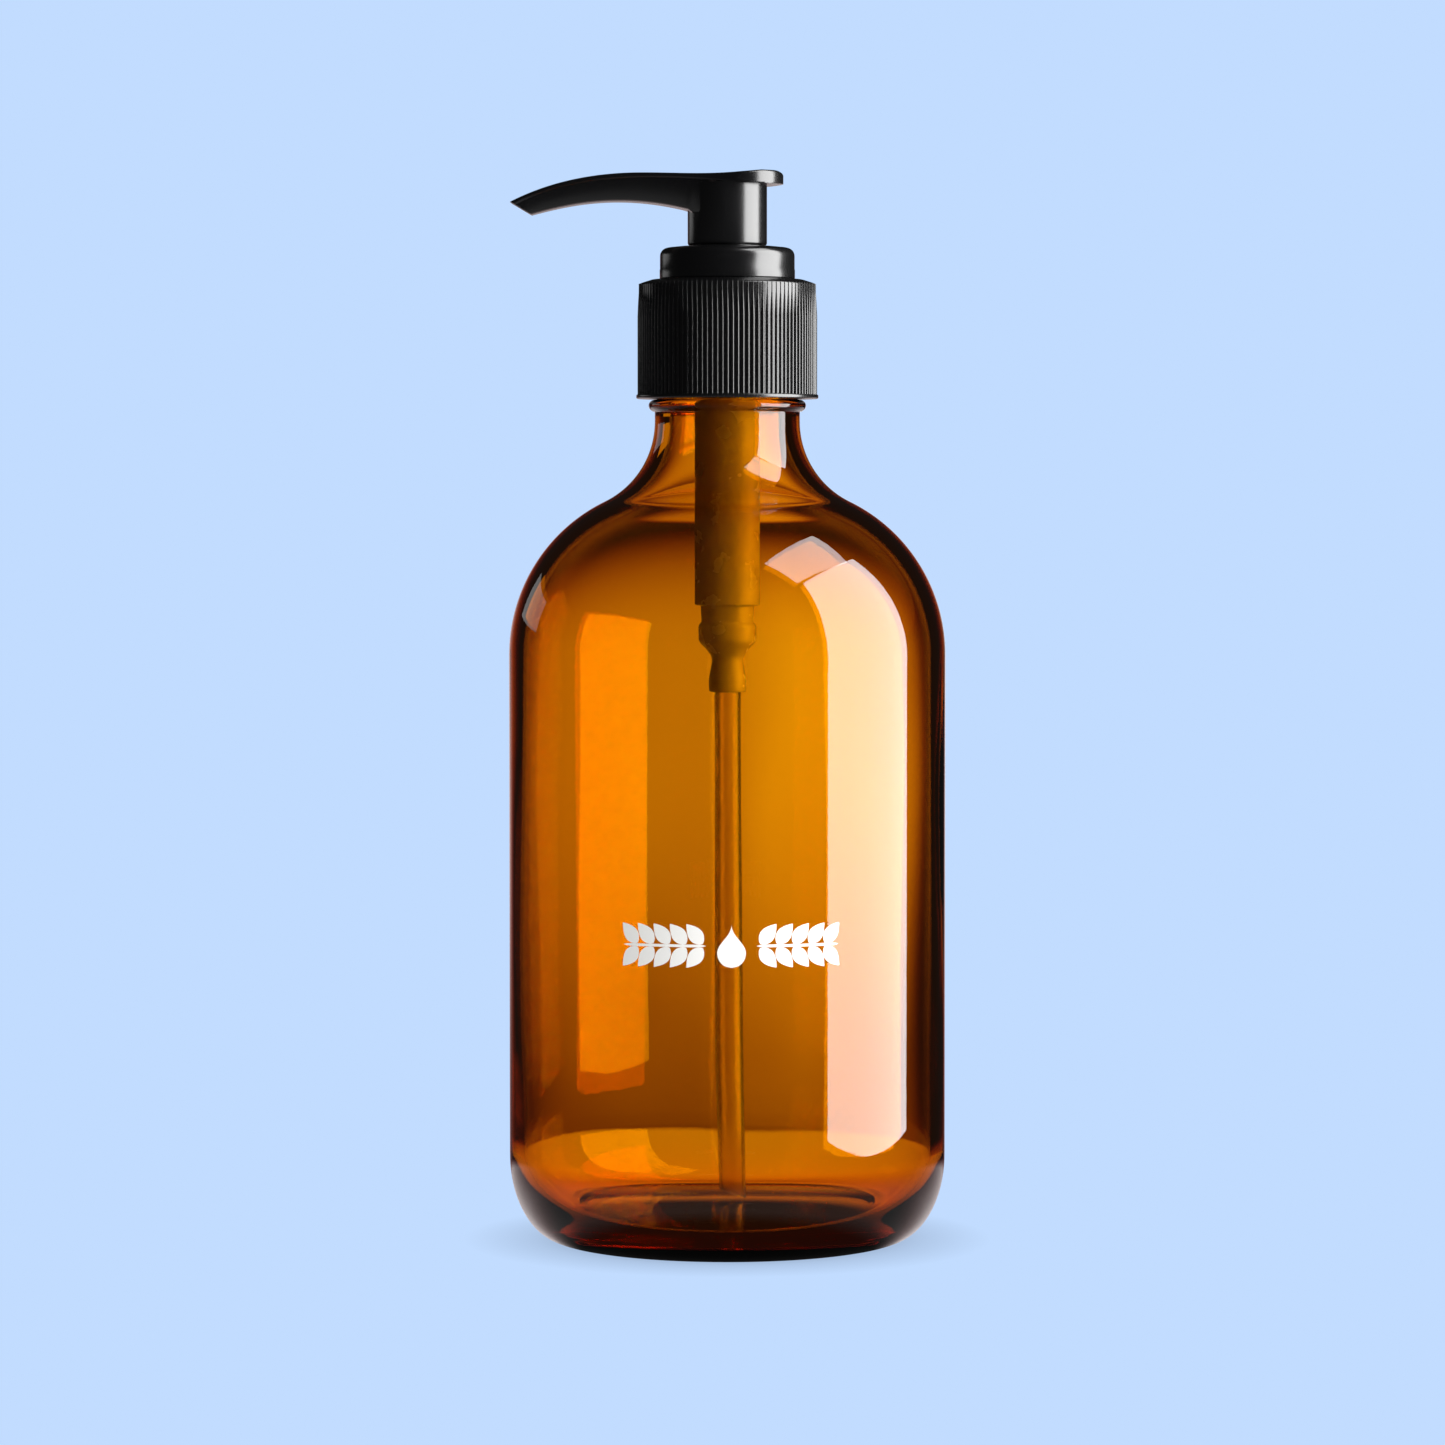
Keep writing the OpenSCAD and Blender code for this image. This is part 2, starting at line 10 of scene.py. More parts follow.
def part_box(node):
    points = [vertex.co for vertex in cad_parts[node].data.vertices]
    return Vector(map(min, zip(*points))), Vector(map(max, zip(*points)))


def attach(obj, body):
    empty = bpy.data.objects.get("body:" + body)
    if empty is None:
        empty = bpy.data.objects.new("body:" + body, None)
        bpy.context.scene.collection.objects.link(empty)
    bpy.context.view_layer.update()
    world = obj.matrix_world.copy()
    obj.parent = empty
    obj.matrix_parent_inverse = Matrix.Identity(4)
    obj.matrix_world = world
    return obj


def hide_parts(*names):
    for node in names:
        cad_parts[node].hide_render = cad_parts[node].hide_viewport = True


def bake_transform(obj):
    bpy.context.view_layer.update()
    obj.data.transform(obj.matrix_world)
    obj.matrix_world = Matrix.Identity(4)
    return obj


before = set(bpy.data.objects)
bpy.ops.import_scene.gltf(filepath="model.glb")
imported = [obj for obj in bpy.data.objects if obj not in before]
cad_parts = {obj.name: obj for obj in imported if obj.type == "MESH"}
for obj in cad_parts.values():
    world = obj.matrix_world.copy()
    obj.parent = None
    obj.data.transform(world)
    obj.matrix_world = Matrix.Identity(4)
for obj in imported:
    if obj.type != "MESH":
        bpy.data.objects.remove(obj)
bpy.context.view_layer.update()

# ---------------------------------------------------------------------------------------------
# Studio: a long lens at the height of the shoulder's top, a narrow bright backdrop behind the
# bottle, a tall softbox and a small wing at its right, and a dim card behind its left shoulder.
# ---------------------------------------------------------------------------------------------
MM = 0.001
scene = bpy.context.scene
scene.view_settings.view_transform = "Standard"


def linear(hex_colour):
    """Linear RGBA of an sRGB colour such as #c2dcff"""
    parts = [int(hex_colour[i:i + 2], 16) / 255 for i in (1, 3, 5)]
    return [*(p / 12.92 if p <= 0.04045 else ((p + 0.055) / 1.055) ** 2.4 for p in parts), 1]


def add(tree, kind, settings, inputs):
    """Adds a node to a tree, with its settings and with the values or links of its inputs"""
    node = tree.nodes.new(kind)
    for key, value in settings.items():
        setattr(node, key, value)
    for key, value in inputs.items():
        if isinstance(value, bpy.types.NodeSocket):
            tree.links.new(value, node.inputs[key])
        else:
            node.inputs[key].default_value = value
    return node


paper = "#c2dcff"
room_light = 0.012

world = bpy.data.worlds.new("studio")
scene.world = world
world.use_nodes = True
tree = world.node_tree
tree.nodes.clear()


def band(tree, value, start, end, low=0.0, high=1.0):
    """A smooth change from low to high while a value goes from start to end"""
    return add(tree, "ShaderNodeMapRange", {"interpolation_type": "SMOOTHSTEP"}, {
        "Value": value, "From Min": start, "From Max": end, "To Min": low, "To Max": high}).outputs[0]


def calc(tree, operation, a, b):
    """The result of one sum in a tree of nodes"""
    return add(tree, "ShaderNodeMath", {"operation": operation}, {0: a, 1: b}).outputs[0]


# Directions: azimuth from straight behind the bottle towards +X, and the slope up or down, in degrees
direction = add(tree, "ShaderNodeTexCoord", {}, {}).outputs["Generated"]
x, y, z = add(tree, "ShaderNodeSeparateXYZ", {}, {0: direction}).outputs
azimuth = calc(tree, "DEGREES", calc(tree, "ARCTAN2", x, y), 0.0)
slope = calc(tree, "DEGREES", calc(tree, "ARCSINE", z, 0.0), 0.0)

# The lit backdrop is narrow, so that the glass keeps dark edges. It is brightest at its right.
sides = calc(tree, "MULTIPLY", band(tree, azimuth, -27.0, -5.0), band(tree, azimuth, 18.0, 3.5))
rightwards = band(tree, azimuth, -0.6, 1.9, 0.66, 1.0)
downwards = band(tree, slope, -7.8, -3.0, 0.3, 1.0)
upwards = band(tree, slope, 7.0, -2.5)
backdrop = calc(tree, "MULTIPLY", calc(tree, "MULTIPLY", sides, rightwards),
                calc(tree, "MULTIPLY", upwards, downwards))
# The table shows below it: its far part shines with the backdrop, its near part is dim
far = calc(tree, "MULTIPLY", band(tree, slope, -7.4, -9.0), band(tree, slope, -40.0, -16.0))
far = calc(tree, "MULTIPLY", far, band(tree, calc(tree, "ABSOLUTE", azimuth, 0.0), 75.0, 15.0))
lit = calc(tree, "MAXIMUM", backdrop, calc(tree, "MULTIPLY", far, 0.66))
near = calc(tree, "ADD", band(tree, slope, -8.0, -20.0, 0.0, 0.2), room_light)
# Where the backdrop is dim, its light is warmer
red = calc(tree, "ADD", lit, near)
rest = calc(tree, "ADD", calc(tree, "POWER", lit, 1.4), near)
glow = add(tree, "ShaderNodeCombineColor", {}, {0: red, 1: rest, 2: rest}).outputs[0]
studio = add(tree, "ShaderNodeBackground", {}, {"Color": glow, "Strength": 1.06})
seen = add(tree, "ShaderNodeBackground", {}, {"Color": linear(paper), "Strength": 1})
eye = add(tree, "ShaderNodeLightPath", {}, {}).outputs["Is Camera Ray"]
mix = add(tree, "ShaderNodeMixShader", {}, {0: eye, 1: studio.outputs[0], 2: seen.outputs[0]})
add(tree, "ShaderNodeOutputWorld", {}, {"Surface": mix.outputs[0]})


def softbox(name, azimuth, distance, middle, width, height, light, target=None):
    """An area light that faces the bottle's axis, at a target height. Azimuth goes from the camera to +X."""
    lamp = bpy.data.lights.new(name, "AREA")
    lamp.shape = "RECTANGLE"
    lamp.size = width
    lamp.size_y = height
    lamp.energy = light * math.pi * width * height
    panel = bpy.data.objects.new(name, lamp)
    turn = math.radians(azimuth)
    place = Vector((math.sin(turn) * distance, -math.cos(turn) * distance, middle))
    panel.location = place
    towards = Vector((0, 0, middle if target is None else target)) - place
    panel.rotation_euler = towards.to_track_quat("-Z", "Y").to_euler()
    panel.visible_camera = False
    scene.collection.objects.link(panel)
    return panel


softbox("key_softbox", azimuth=76.5, distance=0.27, middle=0.194, width=0.265, height=0.412, light=8.8)
softbox("key_wing", azimuth=71, distance=0.215, middle=0.435, width=0.25, height=0.13, light=6, target=-0.04)
softbox("side_card", azimuth=-131, distance=0.5, middle=0.215, width=0.22, height=0.1, light=0.6)
# Fill for the printed ink. It stands behind the camera and doesn't show in the glass or the plastic.
fill = softbox("front_fill", azimuth=0, distance=1.2, middle=0.2, width=0.6, height=0.6, light=9)
fill.visible_glossy = False
fill.visible_transmission = False

eye_distance = 0.94
eye_height = 0.137
aim = Vector((-0.00087, 0, 0.0937))
frame_width = 0.2613
film = 36
camera = bpy.data.objects.new("camera", bpy.data.cameras.new("camera"))
camera.data.sensor_width = film
camera.data.lens = film * eye_distance / frame_width
camera.location = (aim.x, -eye_distance, eye_height)
camera.rotation_euler = (aim - camera.location).to_track_quat("-Z", "Y").to_euler()
scene.collection.objects.link(camera)
scene.camera = camera


def glowing_disc(name, finish, radius, colour, light, solid_r, clear_r):
    """A disc on the table that gives its own light. It fades out from one radius to another, in metres."""
    shape = bmesh.new()
    bmesh.ops.create_circle(shape, cap_ends=True, segments=96, radius=radius)
    mesh = bpy.data.meshes.new(name)
    shape.to_mesh(mesh)
    shape.free()
    mesh.materials.append(bpy.data.materials.new(finish))
    mesh.materials[0].use_nodes = True
    tree = mesh.materials[0].node_tree
    tree.nodes.clear()
    glow = add(tree, "ShaderNodeEmission", {}, {"Color": linear(colour), "Strength": light})
    clear = add(tree, "ShaderNodeBsdfTransparent", {}, {})
    spot = add(tree, "ShaderNodeTexCoord", {}, {}).outputs["Object"]
    out_from = add(tree, "ShaderNodeVectorMath", {"operation": "LENGTH"}, {0: spot}).outputs["Value"]
    mix = add(tree, "ShaderNodeMixShader", {}, {
        0: band(tree, out_from, solid_r, clear_r), 1: glow.outputs[0], 2: clear.outputs[0]})
    add(tree, "ShaderNodeOutputMaterial", {}, {"Surface": mix.outputs[0]})
    disc = bpy.data.objects.new(name, mesh)
    scene.collection.objects.link(disc)
    disc.visible_diffuse = False
    return disc, glow


# The floor is no lamp but glows with the backdrop's own brightness; round the foot a painted shadow from
# ambient occlusion darkens it
floor, glow = glowing_disc("floor", "glowing_floor_painted_shadow", 0.45, paper, 1, 0.15, 0.4)
floor.visible_glossy = False
floor.visible_transmission = False
# Painted shadow: ambient occlusion dims the floor's glow close to the foot
shade = add(glow.id_data, "ShaderNodeAmbientOcclusion", {"samples": 16},
            {"Color": linear("#ffffff"), "Distance": 0.012}).outputs["AO"]
shade = add(glow.id_data, "ShaderNodeMapRange", {}, {"Value": shade, "To Min": 0.7}).outputs[0]
glow.id_data.links.new(shade, glow.inputs["Strength"])

# Painted shade: a dim glowing disc stands in for the table's shadow under the foot. Only the glass sees it,
# through the base and in the heel.
painted_foot_shade, glow = glowing_disc("painted_foot_shade", "painted_shade_disc", 0.06, "#ffffff", 0.02, 0.026, 0.036)
painted_foot_shade.location = Vector((0, -20, -0.3)) * MM
painted_foot_shade.visible_camera = False

# ---------------------------------------------------------------------------------------------
# Bottle: amber soda-lime glass, blown in a mould and fire-polished. It has a solid heel, a hollow
# under the floor, a continuous screw thread for the closure and a bead below the thread.
# ---------------------------------------------------------------------------------------------


def heights(node):
    """Lowest and highest point of a CAD node, in millimetres"""
    low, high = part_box(node)
    return low.z / MM, high.z / MM


def arc(centre, radii, start, end, steps):
    """Points on an ellipse, between two angles in degrees"""
    turns = [math.radians(start + (end - start) * i / steps) for i in range(steps + 1)]
    return [(centre[0] + radii[0] * math.cos(t), centre[1] + radii[1] * math.sin(t)) for t in turns]


def rows(radius, low, high, step):
    """Points up or down a straight wall, a step apart, without its two ends"""
    count = max(1, round(abs(high - low) / step))
    return [(radius, low + (high - low) * i / count) for i in range(1, count)]


def rounded(corners, steps=4):
    """An outline whose corners (radius, height, fillet) are rounded by their fillets"""
    outline = []
    for i, corner in enumerate(corners):
        here = Vector(corner[:2])
        if len(corner) < 3:
            outline.append((here.x, here.y))
            continue
        back = Vector(corners[i - 1][:2]) - here
        on = Vector(corners[(i + 1) % len(corners)][:2]) - here
        half = back.angle(on) / 2
        reach = min(corner[2] / math.tan(half), 0.49 * back.length, 0.49 * on.length)
        fillet = reach * math.tan(half)
        middle = here + (back.normalized() + on.normalized()).normalized() * fillet / math.sin(half)
        first = here + back.normalized() * reach - middle
        last = here + on.normalized() * reach - middle
        start = math.atan2(first.y, first.x)
        sweep = (math.atan2(last.y, last.x) - start + math.pi) % (2 * math.pi) - math.pi
        for k in range(steps + 1):
            turn = start + sweep * k / steps
            outline.append((middle.x + fillet * math.cos(turn), middle.y + fillet * math.sin(turn)))
    return outline


def helical(height, turn, first, pitch, turns, foot, crest):
    """Share of a thread's full depth at a height and an angle: 1 on its crest and 0 off it"""
    most = 0
    for lap in range(math.ceil(turns) + 1):
        total = turn + 2 * math.pi * lap
        if total > 2 * math.pi * turns:
            break
        off = abs(height - first - pitch * total / (2 * math.pi))
        flank = min(1, max(0, (foot / 2 - off) / ((foot - crest) / 2)))
        fade = min(1, total / 0.7, (2 * math.pi * turns - total) / 0.7)
        most = max(most, flank * flank * (3 - 2 * flank) * fade)
    return most


def spun(shape, outline, sides, relief=None):
    """Spins an outline of (radius, height) in millimetres round Z. Relief moves a point in or out."""
    rings = []
    for radius, height in outline:
        if radius < 1e-6:
            rings.append([shape.verts.new((0, 0, height * MM))] * sides)
            continue
        ring = []
        for k in range(sides):
            turn = 2 * math.pi * k / sides
            r = (radius + (relief(radius, height, turn) if relief else 0)) * MM
            ring.append(shape.verts.new((r * math.cos(turn), r * math.sin(turn), height * MM)))
        rings.append(ring)
    loops = list(zip(rings, rings[1:] + rings[:1]))
    if outline[0][0] < 1e-6 and outline[-1][0] < 1e-6:
        loops.pop()
    for lower, upper in loops:
        for k in range(sides):
            n = (k + 1) % sides
            corners = list(dict.fromkeys([lower[k], lower[n], upper[n], upper[k]]))
            shape.faces.new(corners)


def piece_of(name, shape, finish, sharp=32):
    """Makes a closed shape an object with its faces outwards and its sharp edges kept"""
    bmesh.ops.recalc_face_normals(shape, faces=shape.faces)
    if shape.calc_volume(signed=True) < 0:
        bmesh.ops.reverse_faces(shape, faces=shape.faces)
    mesh = bpy.data.meshes.new(name)
    shape.to_mesh(mesh)
    shape.free()
    mesh.shade_smooth()
    mesh.set_sharp_from_angle(angle=math.radians(sharp))
    mesh.materials.append(finish)
    made = bpy.data.objects.new(name, mesh)
    scene.collection.objects.link(made)
    return made


def lathed(name, outline, finish, sides=160, relief=None, sharp=32):
    """A turned piece with one outline"""
    shape = bmesh.new()
    spun(shape, outline, sides, relief)
    return piece_of(name, shape, finish, sharp)


def finish_of(name, surface):
    """A material with one Principled shader, whose even values are set on its own sockets"""
    made = bpy.data.materials.new(name)
    made.use_nodes = True
    made.node_tree.nodes.clear()
    shader = add(made.node_tree, "ShaderNodeBsdfPrincipled", {}, surface)
    out = add(made.node_tree, "ShaderNodeOutputMaterial", {}, {"Surface": shader.outputs[0]})
    place = add(made.node_tree, "ShaderNodeTexCoord", {}, {}).outputs["Object"]
    return made, made.node_tree, shader, out, place


# Amber glass, blown and fire-polished: clear and smooth, with slow waves from the mould's cool skin.
# Iron and sulphur in the melt take out the blue and most of the green.
glass, tree, shader, out, place = finish_of("amber_glass_blown", {
    "Base Color": linear("#ffffff"), "Roughness": 0.0, "IOR": 1.52, "Transmission Weight": 1.0})
wave = add(tree, "ShaderNodeTexNoise", {}, {"Vector": place, "Scale": 1 / (14 * MM), "Detail": 1.0})
skin = add(tree, "ShaderNodeTexNoise", {}, {"Vector": place, "Scale": 1 / (1.6 * MM), "Detail": 2.0})
swell = add(tree, "ShaderNodeBump", {}, {"Strength": 0.12, "Distance": 0.12 * MM,
                                         "Height": wave.outputs["Fac"]})
peel = add(tree, "ShaderNodeBump", {}, {"Strength": 0.06, "Distance": 0.02 * MM,
                                        "Height": skin.outputs["Fac"],
                                        "Normal": swell.outputs["Normal"]})
tree.links.new(peel.outputs["Normal"], shader.inputs["Normal"])
taken = (34, 238, 1450)  # share of red, green and blue light that a metre of this glass takes
absorb = add(tree, "ShaderNodeVolumeAbsorption", {}, {
    "Color": [1 - t / max(taken) for t in taken] + [1], "Density": max(taken)})
tree.links.new(absorb.outputs[0], out.inputs["Volume"])

skin_gap = 0.05  # keeps glass, seam and ink inside the bottle's nominal size
wall = 2.6
body_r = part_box("bottle")[1].x / MM
rim_z = heights("bottle")[1]
body_h = 106
shoulder_r = 30.8
throat_r = 16
foot_r = 30
floor_r = 27.5
heel_h = 15.5
heel_in_h = 12.6
push_up = 1.6
floor_z = 4
floor_rise = 0.12
neck_r = 13.15
bead_r = 14.2
bead_h = 2.1
finish_h = 17.4
finish_r = 12.55
mouth_r = 10.55
thread_depth = 1.15
thread_foot = 2.7
thread_crest = 0.9
pitch = 4.233
thread_turns = 1.5
thread_drop = 2.4
seam_h = 0.04
flow_z = 14
flow_top = body_h + 12

bead_top = rim_z - finish_h
bead_z = bead_top - bead_h
shoulder_x = body_r - shoulder_r
throat_x = neck_r + throat_r
throat_z = body_h + math.sqrt((shoulder_r + throat_r) ** 2 - (throat_x - shoulder_x) ** 2)
throat_a = math.degrees(math.atan2(throat_z - body_h, throat_x - shoulder_x))
thread_z = rim_z - thread_drop - pitch * thread_turns

outside = (
    arc((0, 0), (floor_r, push_up), 90, 8, 16)
    + rounded([(floor_r - 0.1, 0.2), (floor_r + 0.6, 0, 0.5), (foot_r - 0.4, 0)], 3)
    + arc((foot_r, heel_h), (body_r - skin_gap - foot_r, heel_h), -84, 0, 26)
    + rows(body_r - skin_gap, heel_h, body_h, 2.5)
    + arc((shoulder_x, body_h), (shoulder_r - skin_gap, shoulder_r - skin_gap), 0, throat_a, 40)
    + arc((throat_x, throat_z), (throat_r + skin_gap, throat_r + skin_gap), 180 + throat_a, 180, 22)[1:])
bead_out = bead_r - neck_r + skin_gap
bead = (
    rounded([(neck_r - skin_gap, bead_z - 0.9), (neck_r - skin_gap, bead_z, 0.3),
             (neck_r - skin_gap + 0.4, bead_z)], 4)
    + arc((neck_r - skin_gap, bead_z + bead_h / 2), (bead_out, bead_h / 2), -65, 80, 16)
    + rounded([(neck_r, bead_top), (finish_r, bead_top + 0.1, 0.3), (finish_r, bead_top + 1)], 3))
rim = rounded([
    (finish_r, rim_z - 1.2), (finish_r, rim_z, 0.7), (mouth_r, rim_z, 0.7), (mouth_r, rim_z - 1.5)], 5)
inside = (
    rows(mouth_r, rim_z - 2, throat_z, 2.5)
    + arc((throat_x, throat_z), (throat_r + wall, throat_r + wall), 180, 180 + throat_a, 22)
    + arc((shoulder_x, body_h), (shoulder_r - wall, shoulder_r - wall), throat_a, 0, 40)[1:]
    + rows(body_r - wall, body_h, floor_z + heel_in_h, 2.5)
    + arc((floor_r, floor_z + heel_in_h), (body_r - wall - floor_r, heel_in_h), 0, -90, 24)
    + [(r, floor_z + floor_rise * (1 - r / floor_r)) for r in (22, 16, 10, 5, 0)])


def glass_relief(radius, height, turn):
    """The thread outside, the seam that the mould left, and the uneven flow of the glass inside"""
    if height > bead_top + 0.8 and radius > finish_r - 0.01:
        return thread_depth * helical(height, turn, thread_z, pitch, thread_turns, thread_foot, thread_crest)
    if radius > body_r - skin_gap - 0.01:
        return seam_h if min(turn % math.pi, math.pi - turn % math.pi) < 0.004 else 0
    if flow_z < height < flow_top and radius < body_r - wall + 0.01 < radius + 3:
        up = min(1, (height - flow_z) / 24)
        down = min(1, (flow_top - height) / 36)
        swell = up * up * (3 - 2 * up) * down * down * (3 - 2 * down)
        slow = 0.12 * math.sin(2 * turn + height / 37) + 0.06 * math.sin(5 * turn - height / 23 + 1)
        quick = 0.02 * math.sin(11 * turn + height / 15)
        return swell * (slow + quick)
    return 0


bottle = lathed("bottle_glass", outside + bead + rows(finish_r, bead_top + 1, rim_z - 1.2, 0.28) + rim
                + inside, glass, sides=240, relief=glass_relief, sharp=50)
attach(bottle, "bottle")
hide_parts("bottle")

# ---------------------------------------------------------------------------------------------
# Printed mark: an oil drop between two leafy sprigs, screen-printed in white ceramic ink on the
# front of the glass and fired. It stands for no maker. Each shape is a thin raised patch of ink.
# ---------------------------------------------------------------------------------------------


def grained(tree, shader, place, width, depth, strength, detail=2.0):
    """Gives a finish a fine relief of random grains, with their width and depth in millimetres"""
    grain = add(tree, "ShaderNodeTexNoise", {}, {
        "Vector": place, "Scale": 1 / (width * MM), "Detail": detail})
    skin = add(tree, "ShaderNodeBump", {}, {
        "Strength": strength, "Distance": depth * MM, "Height": grain.outputs["Fac"]})
    tree.links.new(skin.outputs["Normal"], shader.inputs["Normal"])


# Ceramic ink, screen-printed and fired: opaque and satin, with a little of the screen's grit
ink, tree, shader, out, place = finish_of("white_ceramic_ink", {
    "Base Color": linear("#fbfaf7"), "Roughness": 0.42, "IOR": 1.5})
grained(tree, shader, place, width=0.35, depth=0.02, strength=0.15)

mark_z = 56.6
mark_x = 0.7
mark_half = 19.5
mark_h = 7.6
ink_t = 0.03
ink_sunk = 0.02
drop_half = 2.5
drop_low = 0.34  # share of the drop's height that its round lower end takes
stalk_half = 0.24
stalk_start = 4.4
leaves = 5
leaf_len = 4.5
leaf_half = 1.3
leaf_step = 2.95
leaf_lean = math.radians(50)


def patch(shape, centre, length, half_width, tilt, steps=28):
    """A patch of ink wrapped on the glass, along a line of a length and a tilt, with a half width by share"""
    strands = 6
    ends = []
    for i in range(steps + 1):
        t = i / steps
        along, half = (t - 0.5) * length, max(0.004, half_width(t))
        row = []
        for k in range(strands + 1):
            side = half * (2 * k / strands - 1)
            s = centre[0] + along * math.cos(tilt) - side * math.sin(tilt)
            z = centre[1] + along * math.sin(tilt) + side * math.cos(tilt)
            turn = s / body_r
            row.append([shape.verts.new((r * math.sin(turn) * MM, -r * math.cos(turn) * MM, z * MM))
                        for r in (body_r - skin_gap - ink_sunk, body_r - skin_gap + ink_t)])
        ends.append(row)
    for i in range(steps):
        for k in range(strands):
            a, b, c, d = ends[i][k], ends[i + 1][k], ends[i + 1][k + 1], ends[i][k + 1]
            shape.faces.new([a[1], b[1], c[1], d[1]])
            shape.faces.new([d[0], c[0], b[0], a[0]])
        for k, flip in ((0, False), (strands, True)):
            a, b = ends[i][k], ends[i + 1][k]
            corners = [a[0], b[0], b[1], a[1]]
            shape.faces.new(corners[::-1] if flip else corners)
    for row, flip in ((ends[0], True), (ends[-1], False)):
        for k in range(strands):
            corners = [row[k][0], row[k + 1][0], row[k + 1][1], row[k][1]]
            shape.faces.new(corners[::-1] if flip else corners)


def drop(t):
    """Half width of the drop: round below and drawn out to a point above"""
    if t < drop_low:
        return drop_half * math.sqrt(max(0, 1 - (1 - t / drop_low) ** 2))
    return drop_half * (0.5 + 0.5 * math.cos(math.pi * (t - drop_low) / (1 - drop_low))) ** 1.15


def stalk(t):
    """Half width of a sprig's stalk, with rounded ends"""
    return stalk_half * min(1, 12 * t, 12 * (1 - t)) ** 0.5


def leaf(t):
    """Half width of a leaf, which is widest near its stalk"""
    return leaf_half * math.sin(math.pi * min(1, t) ** 0.8) ** 0.9


shape = bmesh.new()
patch(shape, (mark_x, mark_z), mark_h, drop, math.pi / 2)
for way in (-1, 1):
    patch(shape, (mark_x + way * (stalk_start + mark_half) / 2, mark_z), mark_half - stalk_start, stalk, 0)
    for i in range(leaves):
        root = stalk_start + 0.6 + i * leaf_step
        for up in (-1, 1):
            middle = (mark_x + way * (root + leaf_len / 2 * math.cos(leaf_lean)),
                      mark_z + up * (0.35 + leaf_len / 2 * math.sin(leaf_lean)))
            tilt = math.atan2(up * math.sin(leaf_lean), way * math.cos(leaf_lean))
            patch(shape, middle, leaf_len, leaf, tilt)
mark = piece_of("printed_mark", shape, ink)
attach(mark, "bottle")

# ---------------------------------------------------------------------------------------------
# Pump housing: flange, cup, cylinder, ball cage and dip tube socket, injection moulded in one
# from natural polypropylene. It hangs by its flange on the gasket, inside the bottle's mouth.
# ---------------------------------------------------------------------------------------------


def mottled(tree, shader, place, width, low, high, detail):
    """Lets a finish's roughness wander between two values, in clouds of a width in millimetres"""
    cloud = add(tree, "ShaderNodeTexNoise", {}, {
        "Vector": place, "Scale": 1 / (width * MM), "Detail": detail})
    rough = add(tree, "ShaderNodeMapRange", {}, {
        "Value": cloud.outputs["Fac"], "To Min": low, "To Max": high})
    tree.links.new(rough.outputs[0], shader.inputs["Roughness"])


# Natural polypropylene, moulded: milky, lets some light through, and glossier in some places than others
natural, tree, shader, out, place = finish_of("polypropylene_natural", {
    "Base Color": linear("#d8d4c8"), "Roughness": 0.25, "IOR": 1.49, "Transmission Weight": 0.4,
    "Subsurface Weight": 0.25, "Subsurface Radius": [1.0, 0.9, 0.8], "Subsurface Scale": 1.5 * MM})
mottled(tree, shader, place, width=6, low=0.18, high=0.34, detail=3.0)
grained(tree, shader, place, width=0.6, depth=0.03, strength=0.1)

socket_z, flange_top = heights("housing")
flange_z = flange_top - 1.2
flange_r = 12.4
cup_r = 9.6
cup_in_r = 8.6
cup_z = flange_z - 5.4
bore_r = 4.9
tube_r = 5.9
seat_z = heights("spring")[0] - 0.03
tube_z = seat_z - 1
bulb_z = tube_z - 8
bulb_r = 5.25
chamber_r = 3
inlet_r = 1.5
dip_r = 2.45
dip_top = heights("dip_tube")[1]
socket_r = 3.45

housing_outline = rounded([
    (cup_in_r, flange_top, 0.15), (cup_in_r, cup_z, 0.3), (bore_r, cup_z, 0.3), (bore_r, seat_z, 0.1),
    (chamber_r, seat_z), (chamber_r, bulb_z + 1.7), (inlet_r, bulb_z + 0.2),
    (inlet_r, dip_top + 0.03), (dip_r, dip_top + 0.03), (dip_r, socket_z, 0.15),
    (socket_r - 0.05, socket_z, 0.3), (socket_r, socket_z + 2.2, 1.0), (socket_r - 0.75, bulb_z - 1.6, 2.0),
    (socket_r + 0.4, bulb_z, 0.8), (bulb_r, bulb_z + 1.4, 1.6), (bulb_r, bulb_z + 4.3, 1.2),
    (bore_r - 0.2, bulb_z + 5, 0.4), (bore_r - 0.1, tube_z, 0.2), (tube_r, tube_z, 0.35),
    (tube_r, cup_z - 3.5, 1.5), (cup_r, cup_z - 1.5, 0.8), (cup_r, flange_z, 0.3), (flange_r, flange_z, 0.2),
    (flange_r, flange_top, 0.2)])
housing = lathed("pump_housing", housing_outline, natural, sides=96)
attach(housing, "pump")
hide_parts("housing")

# ---------------------------------------------------------------------------------------------
# Gasket: a washer punched from closed-cell polyethylene foam, squeezed between rim and flange.
# ---------------------------------------------------------------------------------------------
# Closed-cell foam, skived from a block: dead matt, with cut cells a quarter of a millimetre wide
foam, tree, shader, out, place = finish_of("polyethylene_foam", {
    "Base Color": linear("#e9e6dc"), "Roughness": 0.92, "IOR": 1.45})
cells = add(tree, "ShaderNodeTexVoronoi", {}, {"Vector": place, "Scale": 1 / (0.25 * MM)})
skin = add(tree, "ShaderNodeBump", {}, {"Strength": 0.5, "Distance": 0.08 * MM,
                                        "Height": cells.outputs["Distance"]})
tree.links.new(skin.outputs["Normal"], shader.inputs["Normal"])
gasket_z, gasket_top = heights("gasket")
gasket_outline = rounded([
    (cup_r + 0.1, gasket_z, 0.1), (flange_r, gasket_z, 0.3), (flange_r, gasket_top, 0.3),
    (cup_r + 0.1, gasket_top, 0.1)])
gasket = lathed("gasket_washer", gasket_outline, foam, sides=128)
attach(gasket, "pump")
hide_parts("gasket")

